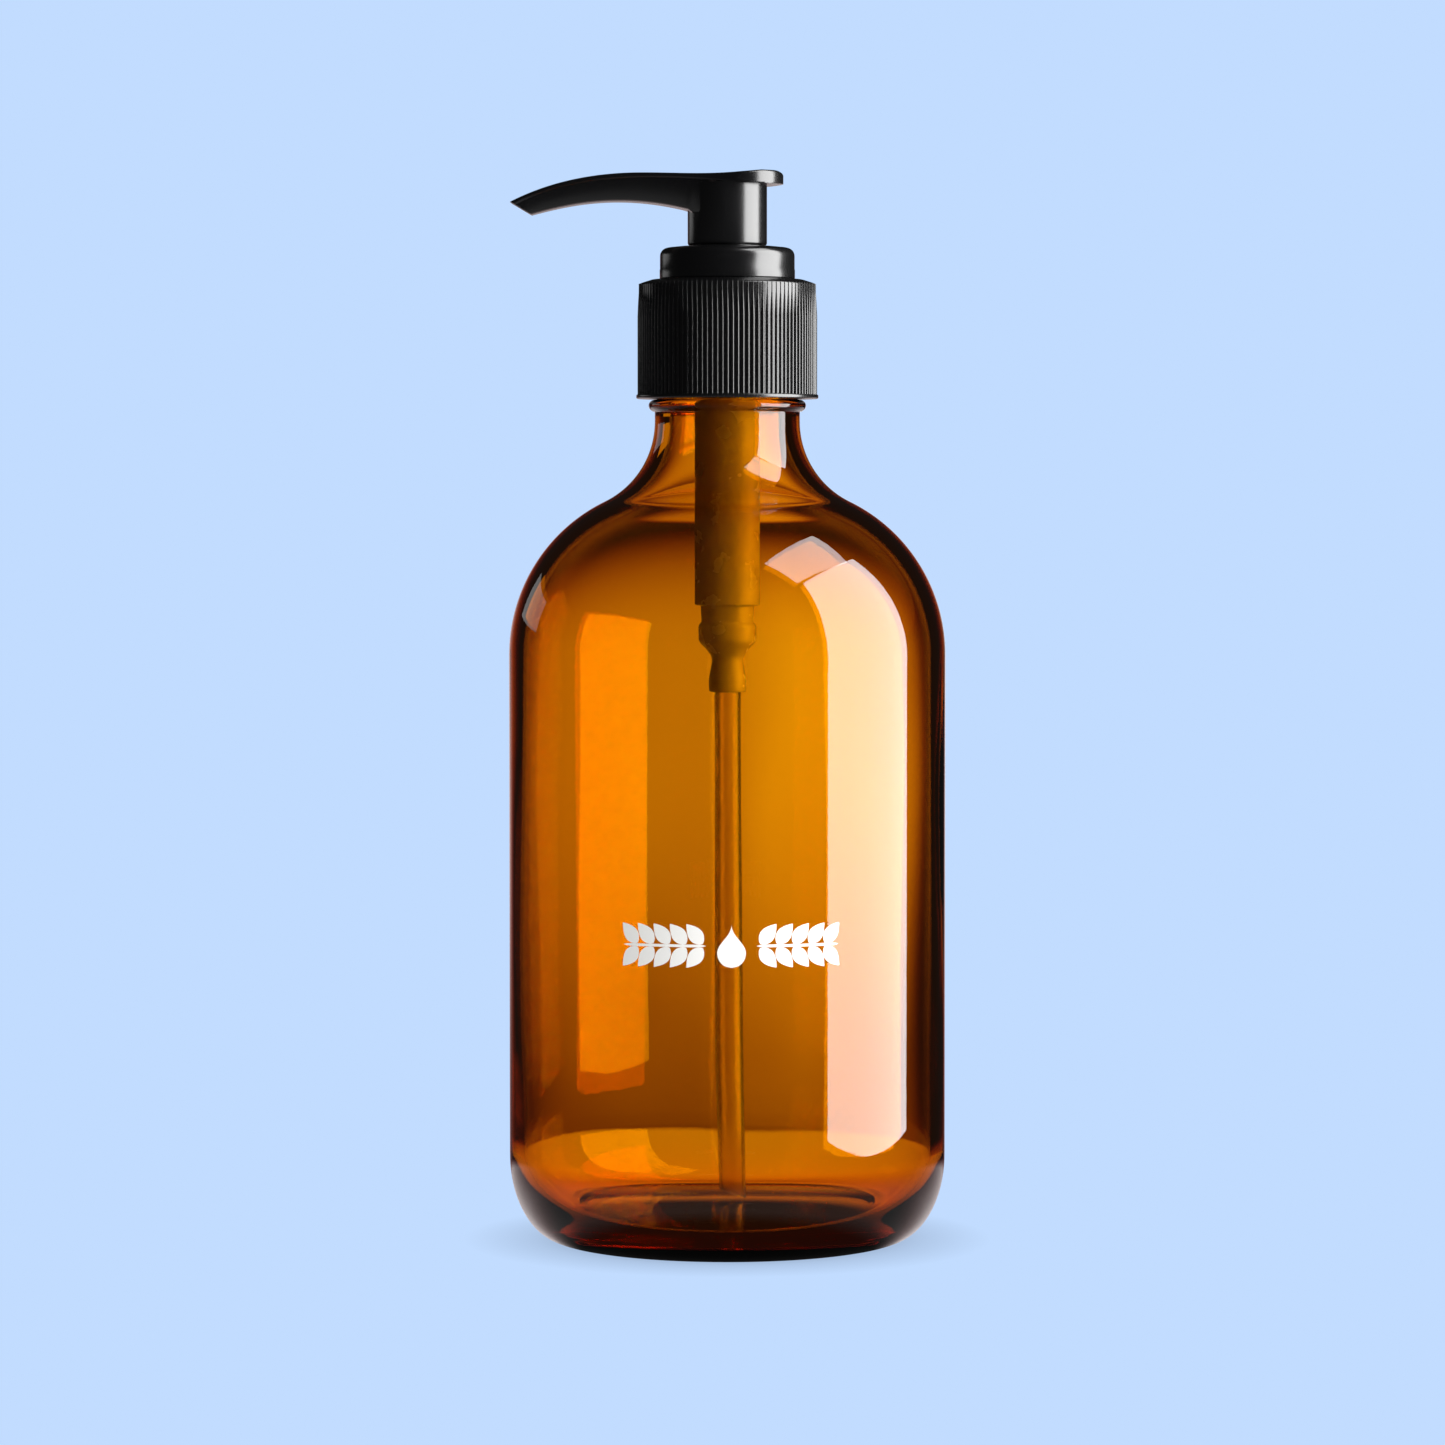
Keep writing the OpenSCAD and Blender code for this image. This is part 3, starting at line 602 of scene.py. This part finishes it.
# ---------------------------------------------------------------------------------------------
# Dip tube: extruded natural polyethylene, cut from a reel, pressed into the housing's socket. It
# keeps a little of the reel's bend, and its foot is cut on the slant so that it can't seal itself.
# ---------------------------------------------------------------------------------------------
# Natural polyethylene, extruded: cloudy and waxy, with faint lines along the tube from the die
tube_finish, tree, shader, out, place = finish_of("polyethylene_extruded", {
    "Base Color": linear("#fbeeda"), "Roughness": 0.18, "IOR": 1.51, "Transmission Weight": 0.95})
lines = add(tree, "ShaderNodeMapping", {}, {"Vector": place, "Scale": (1, 1, 0.02)})
grained(tree, shader, lines.outputs[0], width=0.5, depth=0.03, strength=0.05)

dip_bottom = heights("dip_tube")[0]
dip_wall = 0.6
lean = 1.0
foot_slope = 0.6 * math.tan(math.radians(40))
shape = bmesh.new()
straight = rows(dip_r, dip_bottom, dip_top, 3)
bore_rows = [(dip_r - dip_wall, z) for r, z in reversed(straight)]
spun(shape, [(dip_r, dip_bottom)] + straight + [(dip_r, dip_top), (dip_r - dip_wall, dip_top)]
     + bore_rows + [(dip_r - dip_wall, dip_bottom)], 40)
for v in shape.verts:
    z = v.co.z / MM
    if z < dip_bottom + 0.01:
        v.co.z += (dip_r * MM - v.co.x) * foot_slope
    bend = max(0, (socket_z - z) / (socket_z - dip_bottom))
    v.co.x += lean * MM * bend ** 1.6
dip_tube = piece_of("dip_tube_pe", shape, tube_finish)
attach(dip_tube, "pump")
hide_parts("dip_tube")

# ---------------------------------------------------------------------------------------------
# Pump engine: the inlet ball, the piston rod with its valve head, the piston that slips on it, and
# the hollow upper stem. The ball is steel. The others are moulded, and snap together on the rod.
# ---------------------------------------------------------------------------------------------
# White polyethylene, moulded: soft and waxy
piston_finish, tree, shader, out, place = finish_of("polyethylene_white", {
    "Base Color": linear("#efede6"), "Roughness": 0.5, "IOR": 1.51})
grained(tree, shader, place, width=0.4, depth=0.02, strength=0.12)

# Stainless steel, ground and drawn: bright, with fine dull specks that spread the highlights
steel, tree, shader, out, place = finish_of("stainless_steel_drawn", {
    "Base Color": linear("#c4c6c8"), "Metallic": 1.0, "Roughness": 0.22})
mottled(tree, shader, place, width=0.3, low=0.14, high=0.34, detail=4.0)

for node, finish, slot in (("inlet_ball", steel, "ball_steel"),
                           ("lower_stem", natural, "natural_plastic"),
                           ("piston", piston_finish, "piston_plastic")):
    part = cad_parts[node]
    part.data.materials.clear()
    part.data.materials.append(finish)

stem_z, stem_top = heights("upper_stem")
stem_r = 3.5
stem_bore_r = 1.8
plug_r = 2.45
plug_top = stem_z + 9.65
stem_outline = rounded([
    (stem_r, stem_z, 0.25), (stem_r, stem_top, 0.2), (stem_bore_r, stem_top, 0.2),
    (stem_bore_r, plug_top), (plug_r, plug_top), (plug_r, stem_z, 0.2)])
upper_stem = lathed("stem_tube", stem_outline, natural, sides=72)
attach(upper_stem, "head")
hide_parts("upper_stem")

# ---------------------------------------------------------------------------------------------
# Return spring: stainless wire coiled with two closed end turns. It stands on the cylinder's floor
# and presses the valve head up.
# ---------------------------------------------------------------------------------------------


def socket(tree, name, kind, value=None):
    """Adds a named input to a tree of geometry nodes"""
    made = tree.interface.new_socket(name, in_out="INPUT", socket_type="NodeSocket" + kind)
    if value is not None:
        made.default_value = value
    return made.identifier


def plain_copy(name, carrier, tree, values):
    """Runs a tree of geometry nodes on a carrier object and keeps the result as a plain mesh object"""
    run = carrier.modifiers.new("shape", "NODES")
    run.node_group = tree
    for identifier, value in values.items():
        run[identifier] = value
    bpy.context.view_layer.update()
    ready = carrier.evaluated_get(bpy.context.evaluated_depsgraph_get())
    mesh = bpy.data.meshes.new_from_object(ready)
    mesh.name = name
    made = bpy.data.objects.new(name, mesh)
    scene.collection.objects.link(made)
    carrier.modifiers.remove(run)
    bpy.data.objects.remove(carrier)
    mesh.shade_smooth()
    mesh.set_sharp_from_angle(angle=math.radians(40))
    return made


spring_low, spring_high = heights("spring")
wire_d = 0.8
wire_gap = 0.01
bore_play = 0.6
spring_turns = 11

coil = bpy.data.node_groups.new("wire_coil", "GeometryNodeTree")
coil.interface.new_socket("Geometry", in_out="INPUT", socket_type="NodeSocketGeometry")
coil.interface.new_socket("Geometry", in_out="OUTPUT", socket_type="NodeSocketGeometry")
coil_inputs = {
    socket(coil, "Turns", "Float"): float(spring_turns),
    socket(coil, "Mean Radius", "Float"): (bore_r - bore_play - wire_d / 2) * MM,
    socket(coil, "Wire Radius", "Float"): wire_d / 2 * MM,
    socket(coil, "Low End", "Float"): (spring_low + wire_d / 2) * MM,
    socket(coil, "Open Pitch", "Float"):
        (spring_high - spring_low - wire_d - 2 * (wire_d + wire_gap)) / (spring_turns - 2) * MM,
    socket(coil, "Material", "Material"): steel}
given = add(coil, "NodeGroupInput", {}, {}).outputs

line = add(coil, "GeometryNodeCurvePrimitiveLine", {}, {})
line = add(coil, "GeometryNodeResampleCurve", {}, {"Curve": line.outputs[0], "Count": 30 * spring_turns + 1})
share = add(coil, "GeometryNodeSplineParameter", {}, {}).outputs["Factor"]
# The wire rises by its own width on each closed end turn, and by the open pitch between them
turn = calc(coil, "MULTIPLY", share, given["Turns"])
angle = calc(coil, "MULTIPLY", turn, 2 * math.pi)
closed_low = calc(coil, "MINIMUM", turn, 1.0)
closed_high = calc(coil, "MAXIMUM", calc(coil, "SUBTRACT", turn, spring_turns - 1.0), 0.0)
open_turns = calc(coil, "SUBTRACT", calc(coil, "SUBTRACT", turn, closed_low), closed_high)
closed_turns = calc(coil, "ADD", closed_low, closed_high)
closed_rise = calc(coil, "MULTIPLY", closed_turns, (wire_d + wire_gap) * MM)
rise = calc(coil, "ADD", calc(coil, "MULTIPLY", open_turns, given["Open Pitch"]), closed_rise)
where = add(coil, "ShaderNodeCombineXYZ", {}, {
    0: calc(coil, "MULTIPLY", calc(coil, "COSINE", angle, 0.0), given["Mean Radius"]),
    1: calc(coil, "MULTIPLY", calc(coil, "SINE", angle, 0.0), given["Mean Radius"]),
    2: calc(coil, "ADD", rise, given["Low End"])}).outputs[0]
wound = add(coil, "GeometryNodeSetPosition", {}, {"Geometry": line.outputs[0], "Position": where})
ring = add(coil, "GeometryNodeCurvePrimitiveCircle", {}, {"Resolution": 10, "Radius": given["Wire Radius"]})
wire = add(coil, "GeometryNodeCurveToMesh", {}, {
    "Curve": wound.outputs[0], "Profile Curve": ring.outputs[0], "Fill Caps": True})
real = add(coil, "GeometryNodeRealizeInstances", {}, {"Geometry": wire.outputs[0]})
done = add(coil, "GeometryNodeSetMaterial", {}, {"Geometry": real.outputs[0], "Material": given["Material"]})
add(coil, "NodeGroupOutput", {}, {"Geometry": done.outputs[0]})

carrier = bpy.data.objects.new("spring_carrier", bpy.data.meshes.new("spring_carrier"))
scene.collection.objects.link(carrier)
spring = plain_copy("return_spring", carrier, coil, coil_inputs)
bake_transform(spring)
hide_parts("spring")

# ---------------------------------------------------------------------------------------------
# Closure: moulded black polypropylene with a ring of fine grip ribs and a plain brim. It turns
# freely round the pump and its thread draws the housing's flange down on the gasket.
# ---------------------------------------------------------------------------------------------
# Black polypropylene, moulded against a polished tool: semi-gloss, with a faint orange peel
black, tree, shader, out, place = finish_of("polypropylene_black", {
    "Base Color": linear("#09090a"), "Roughness": 0.22, "IOR": 1.49, "Specular IOR Level": 0.95})
mottled(tree, shader, place, width=5, low=0.18, high=0.28, detail=4.0)
grained(tree, shader, place, width=0.35, depth=0.015, strength=0.12, detail=3.0)

closure_z, closure_top = heights("closure")
closure_root_r = 15.85
closure_in_r = 14.05
closure_hole_r = 8.9
closure_lap = 3.95  # how far below the bottle's thread the closure's own begins
closure_turned = math.radians(200)
rib_depth = 0.35
rib_r = 0.29
ribs = 108
brim_r = 16.44
brim_h = 0.8
rib_top = closure_top - 0.7
closure_in_top = flange_top + 0.1

closure_outline = (
    rows(closure_in_r, closure_in_top - 1, closure_z + 1, 0.35)
    + rounded([(closure_in_r, closure_z + 1), (closure_in_r, closure_z, 0.3), (brim_r, closure_z, 0.3),
               (brim_r, closure_z + brim_h, 0.3), (closure_root_r, closure_z + brim_h, 0.1),
               (closure_root_r, rib_top, 0.5), (closure_root_r - 2.2, closure_top, 1.2),
               (closure_hole_r, closure_top, 0.3), (closure_hole_r, closure_in_top, 0.2),
               (closure_in_r, closure_in_top, 0.6), (closure_in_r, closure_in_top - 1)], 5))


def closure_relief(radius, height, turn):
    """The closure's own thread, which stands inwards from its wall"""
    if abs(radius - closure_in_r) > 0.01 or not closure_z + 1 < height < closure_in_top - 1:
        return 0
    return -thread_depth * helical(height, (turn + closure_turned) % (2 * math.pi),
                                   thread_z - closure_lap, pitch, thread_turns, 2.2, 0.8)


carrier = lathed("closure_carrier", closure_outline, black, sides=216, relief=closure_relief)

grip = bpy.data.node_groups.new("grip_ribs", "GeometryNodeTree")
grip.interface.new_socket("Geometry", in_out="INPUT", socket_type="NodeSocketGeometry")
grip.interface.new_socket("Geometry", in_out="OUTPUT", socket_type="NodeSocketGeometry")
grip_inputs = {
    socket(grip, "Ribs", "Int"): ribs,
    socket(grip, "Ring Radius", "Float"): (closure_root_r + rib_depth - rib_r) * MM,
    socket(grip, "Rib Radius", "Float"): rib_r * MM,
    socket(grip, "Foot", "Float"): (closure_z + brim_h - 0.1) * MM,
    socket(grip, "Length", "Float"): (rib_top - closure_z - brim_h + 0.05) * MM,
    socket(grip, "Material", "Material"): black}
given = add(grip, "NodeGroupInput", {}, {}).outputs
line = add(grip, "GeometryNodeCurvePrimitiveLine", {}, {})
line = add(grip, "GeometryNodeResampleCurve", {}, {"Curve": line.outputs[0], "Count": 9})
share = add(grip, "GeometryNodeSplineParameter", {}, {}).outputs["Factor"]
# Points along a rib lie closest together at its top, where it is rounded off
left = calc(grip, "POWER", calc(grip, "SUBTRACT", 1.0, share), 2.6)
down = calc(grip, "MULTIPLY", left, given["Length"])
up = calc(grip, "SUBTRACT", calc(grip, "ADD", given["Foot"], given["Length"]), down)
where = add(grip, "ShaderNodeCombineXYZ", {}, {0: given["Ring Radius"], 2: up}).outputs[0]
rib = add(grip, "GeometryNodeSetPosition", {}, {"Geometry": line.outputs[0], "Position": where})
dome = calc(grip, "MINIMUM", calc(grip, "DIVIDE", down, 0.5 * MM), 1.0)
dome = calc(grip, "MAXIMUM", calc(grip, "POWER", dome, 0.5), 0.2)
ring = add(grip, "GeometryNodeCurvePrimitiveCircle", {}, {"Resolution": 10, "Radius": given["Rib Radius"]})
to_mesh = add(grip, "GeometryNodeCurveToMesh", {}, {
    "Curve": rib.outputs[0], "Profile Curve": ring.outputs[0], "Scale": dome, "Fill Caps": True})
axle = add(grip, "GeometryNodePoints", {}, {"Count": given["Ribs"]})
lap = calc(grip, "DIVIDE", 2 * math.pi, given["Ribs"])
number = add(grip, "GeometryNodeInputIndex", {}, {}).outputs[0]
spin = add(grip, "ShaderNodeCombineXYZ", {}, {2: calc(grip, "MULTIPLY", number, lap)}).outputs[0]
many = add(grip, "GeometryNodeInstanceOnPoints", {}, {
    "Points": axle.outputs[0], "Instance": to_mesh.outputs[0], "Rotation": spin})
both = add(grip, "GeometryNodeJoinGeometry", {}, {})
grip.links.new(many.outputs[0], both.inputs[0])
grip.links.new(given["Geometry"], both.inputs[0])
real = add(grip, "GeometryNodeRealizeInstances", {}, {"Geometry": both.outputs[0]})
done = add(grip, "GeometryNodeSetMaterial", {}, {"Geometry": real.outputs[0], "Material": given["Material"]})
add(grip, "NodeGroupOutput", {}, {"Geometry": done.outputs[0]})

closure = plain_copy("ribbed_closure", carrier, grip, grip_inputs)
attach(closure, "closure")
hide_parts("closure")

# ---------------------------------------------------------------------------------------------
# Lock collar: a domed cap on the closure, moulded in black polypropylene with the stem's guide
# below it. It snaps into the housing's cup, and the head's lock screw turns into its middle.
# ---------------------------------------------------------------------------------------------
guide_z, collar_top = heights("lock_collar")
collar_z = closure_top + 0.15
collar_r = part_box("lock_collar")[1].x / MM
lock_r = 6.1
lock_z = collar_z - 1.5
snap_r = cup_in_r - 0.03
snap_in_r = snap_r - 1.2
collar_floor = cup_z + 0.03
guide_r = 3.55
guide_out_r = 4.7
guide_top = collar_floor + 9.5
web_top = collar_floor + 1.5
groove_depth = 0.5
lock_pitch = 3
lock_turns = 1.25
lock_thread_z = 172.226
edge_z = collar_top - 0.45

collar_outline = (
    rows(lock_r, collar_top - 0.6, lock_z, 0.3)
    + rounded([(lock_r, lock_z), (snap_in_r, lock_z - 1.2), (snap_in_r, web_top, 0.3),
               (guide_out_r, web_top, 0.3), (guide_out_r, guide_top, 0.2),
               (guide_r, guide_top, 0.2), (guide_r, guide_z, 0.2), (guide_out_r, guide_z, 0.2),
               (guide_out_r, collar_floor, 0.2), (snap_r, collar_floor, 0.3), (snap_r, edge_z - 1.9, 0.3),
               (collar_r - 1.2, edge_z - 1.9, 0.3), (collar_r - 1.2, collar_z, 0.15),
               (collar_r, collar_z, 0.15), (collar_r, collar_z + 1.6), (collar_r - 0.06, collar_z + 1.72),
               (collar_r - 0.06, edge_z, 1.5), (8.9, collar_top - 0.12, 2.0), (7.4, collar_top - 0.01),
               (lock_r, collar_top, 0.25), (lock_r, collar_top - 0.5)], 6))


def collar_relief(radius, height, turn):
    """The groove for the lock thread in the wall of the collar's hole"""
    if abs(radius - lock_r) > 0.01 or height > collar_top - 0.6:
        return 0
    return groove_depth * helical(height, turn, lock_thread_z, lock_pitch, lock_turns, 2.0, 1.0)


collar = lathed("lock_collar_cap", collar_outline, black, sides=192, relief=collar_relief)
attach(collar, "pump")
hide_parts("lock_collar")

# ---------------------------------------------------------------------------------------------
# Pump head: thumb rest, long curved spout, skirt and lock screw, moulded in one from black
# polypropylene. The top is a thin plate, and its edge stands out past the spout below it.
# ---------------------------------------------------------------------------------------------
post_z, head_top = heights("pump_head")
reach = -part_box("pump_head")[0].x / MM
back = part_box("pump_head")[1].x / MM
rest_r = 8.05
rest_x = back - rest_r
tip_half = 3.4
spout_half = 5.95
ledge = 0.3
skirt_r = 7.15
skirt_h = 13.4
lip_t = 2.55
tip_drop = -5.6
end_run = 3.9
end_fall = -2.35
channel_r = 1.4
bend_x = -0.58 * reach
channel_z = -3.1
mouth_z = -7.3


def bezier(points, steps):
    """Points on a cubic curve"""
    a, b, c, d = (Vector(p) for p in points)
    spots = [i / steps for i in range(steps + 1)]
    return [(1 - t) ** 3 * a + 3 * (1 - t) ** 2 * t * b + 3 * (1 - t) * t * t * c + t ** 3 * d for t in spots]


def level_at(curve, x):
    """Height of a curve at x, between its own ends"""
    for p, q in zip(curve, curve[1:]):
        if p.x <= x <= q.x:
            return p.y + (q.y - p.y) * (x - p.x) / max(q.x - p.x, 1e-9)
    return curve[0].y if x < curve[0].x else curve[-1].y


# The head from the side, in heights below its top: crown, edge of the plate, and the spout's underside
crest_x = -0.41 * reach
crown = (
    bezier([(-reach, tip_drop), (-0.84 * reach, -2.4), (-0.64 * reach, -0.4), (crest_x, -0.4)], 40)
    + bezier([(crest_x, -0.4), (-8, -0.4), (-3, -1.1), (6, 0)], 30)[1:]
    + [Vector(p) for p in arc((back - 1.8, -1), (1.8, 1), 90, 0, 14)])
under = bezier([(-reach + 0.3 * end_run, tip_drop + 0.3 * end_fall), (-0.69 * reach, -0.3),
                (-0.3 * reach, -0.9), (3, -lip_t)], 60)
lower = bezier([(-reach + end_run, tip_drop + end_fall), (-0.74 * reach, -6.3),
                (-0.51 * reach, -3.95), (-skirt_r, -7.1)], 60) + [Vector((-skirt_r + 0.6, -7.8))]

# Cross sections from the tip to the back of the thumb rest, closest where the outline turns most. The
# tip is cut on the slant, so a section there leans towards the bottle as it goes down.
body_end = -3.2
stations = [-reach + t for t in (0, 0.25, 0.6, 1.1, 1.8, 2.6, 3.5, 4.5, 5.6, 6.8, 8)]
stations += [-reach + 8 + (reach - 8 + body_end) * i / 36 for i in range(1, 37)] + [body_end + 0.05]
stations += [body_end + (rest_x - body_end) * i / 6 for i in range(1, 7)]
stations += [rest_x + rest_r * math.sin(math.radians(a)) for a in (
    6, 12, 18, 24, 30, 34, 38, 43, 48, 53, 58, 63, 68, 72, 76, 80, 83, 86, 88.5)]
shear_len = 8

shape = bmesh.new()
rings = []
for x in stations:
    t = min(1, (x + reach) / (reach + rest_x))
    half = tip_half + (rest_r - tip_half) * t ** 2.2
    if x > rest_x:
        half = math.sqrt(max(0.02, rest_r ** 2 - (x - rest_x) ** 2))
    inner = tip_half - ledge + (spout_half - tip_half + ledge) * min(1, max(0, (x + reach) / reach)) ** 2.2
    inner = min(inner, half - ledge)
    shear = max(0, 1 - (x + reach) / shear_len)
    top = level_at(crown, x)
    plate = min(level_at(under, x + 0.3 * end_run * shear), top - 0.42)
    if x > 3:
        plate = -lip_t + 0.06 * max(0, x - 8)
    bottom = min(level_at(lower, x + end_run * shear), plate - 0.3)
    if x > body_end:
        bottom = plate - 0.02
        inner = min(inner, 0.9 * half)
    edge = min(0.5, 0.45 * half, 0.45 * (top - plate))
    chamfer = min(0.6, 0.4 * (plate - bottom))
    section = [(0, top), (0.35 * half, top - 0.03), (0.7 * half, top - 0.1)]
    section += [(half - edge + edge * math.cos(a), top - 0.14 - edge + edge * math.sin(a))
                for a in (math.radians(d) for d in (90, 68, 45, 22, 0))]
    section += [(half, plate + 0.22), (half - 0.18, plate), (inner, plate)]
    section += [(inner, bottom + chamfer), (inner - 0.3 * chamfer, bottom + 0.3 * chamfer),
                (inner - chamfer, bottom), (0, bottom)]
    deep = max(top - bottom, 0.01)
    ring = []
    for way in (1, -1):
        points = section if way == 1 else section[-2:0:-1]
        for y, z in points:
            along = x + end_run * shear * (top - z) / deep
            ring.append(shape.verts.new((along * MM, way * y * MM, (head_top + z) * MM)))
    rings.append(ring)
for near, far in zip(rings, rings[1:]):
    for k in range(len(near)):
        n = (k + 1) % len(near)
        shape.faces.new([near[k], near[n], far[n], far[k]])
shape.faces.new(rings[0][::-1])
shape.faces.new(rings[-1])
bmesh.ops.remove_doubles(shape, verts=shape.verts, dist=0.01 * MM)
bmesh.ops.dissolve_degenerate(shape, edges=shape.edges, dist=0.005 * MM)
blade = piece_of("head_blade", shape, black)

# The skirt, closed at its top by the seat of the stem, with the lock post inside it
post_r = 5.5
post_in_r = 4.8
skirt_in_r = skirt_r - 0.8
skirt_top = head_top - 2.2
skirt_z = head_top - skirt_h
seat_low = stem_top - 1.5
stem_socket_z = stem_top - 7
lock_thread_h = 0.45
skirt_outline = rounded([
    (0, skirt_top), (skirt_r, skirt_top), (skirt_r, skirt_z, 0.35), (skirt_in_r, skirt_z, 0.15),
    (skirt_in_r, seat_low, 0.3), (post_r, seat_low, 0.2), (post_r, stem_top - 2)], 4)
skirt_outline += rows(post_r, stem_top - 2.2, post_z + 0.4, 0.25)
skirt_outline += rounded([
    (post_r, post_z + 0.35), (post_r, post_z, 0.2), (post_in_r, post_z, 0.2), (post_in_r, stem_socket_z, 0.2),
    (stem_r, stem_socket_z, 0.2), (stem_r, stem_top), (0, stem_top)], 3)


def lock_relief(radius, height, turn):
    """The lock thread on the post under the head"""
    if abs(radius - post_r) > 0.01 or not post_z + 0.4 < height < stem_top - 2.2:
        return 0
    return lock_thread_h * helical(height, turn, lock_thread_z, lock_pitch, lock_turns, 1.5, 0.6)


skirt = lathed("head_skirt", skirt_outline, black, sides=160, relief=lock_relief)

# The outlet is drilled from the spout's tip back to the bend of its channel
from_bend = Vector((-reach - 1 - bend_x, 0, mouth_z - channel_z)) * MM
shape = bmesh.new()
bmesh.ops.create_cone(shape, cap_ends=True, segments=40, radius1=channel_r * MM,
                      radius2=channel_r * MM, depth=from_bend.length)
turned = from_bend.to_track_quat("Z", "Y").to_matrix().to_4x4()
middle = Vector((bend_x, 0, head_top + channel_z)) * MM + from_bend / 2
bmesh.ops.transform(shape, matrix=Matrix.Translation(middle) @ turned, verts=shape.verts)
drill = piece_of("head_drill", shape, black)

for tool, kind in ((skirt, "UNION"), (drill, "DIFFERENCE")):
    step = blade.modifiers.new(kind.lower(), "BOOLEAN")
    step.operation = kind
    step.solver = "EXACT"
    step.object = tool
bpy.context.view_layer.update()
ready = blade.evaluated_get(bpy.context.evaluated_depsgraph_get())
mesh = bpy.data.meshes.new_from_object(ready)
mesh.name = "pump_head_moulding"
pump_head = bpy.data.objects.new("pump_head_moulding", mesh)
scene.collection.objects.link(pump_head)
mesh.shade_smooth()
mesh.set_sharp_from_angle(angle=math.radians(32))
for used in (blade, skirt, drill):
    bpy.data.objects.remove(used)
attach(pump_head, "head")
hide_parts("pump_head")
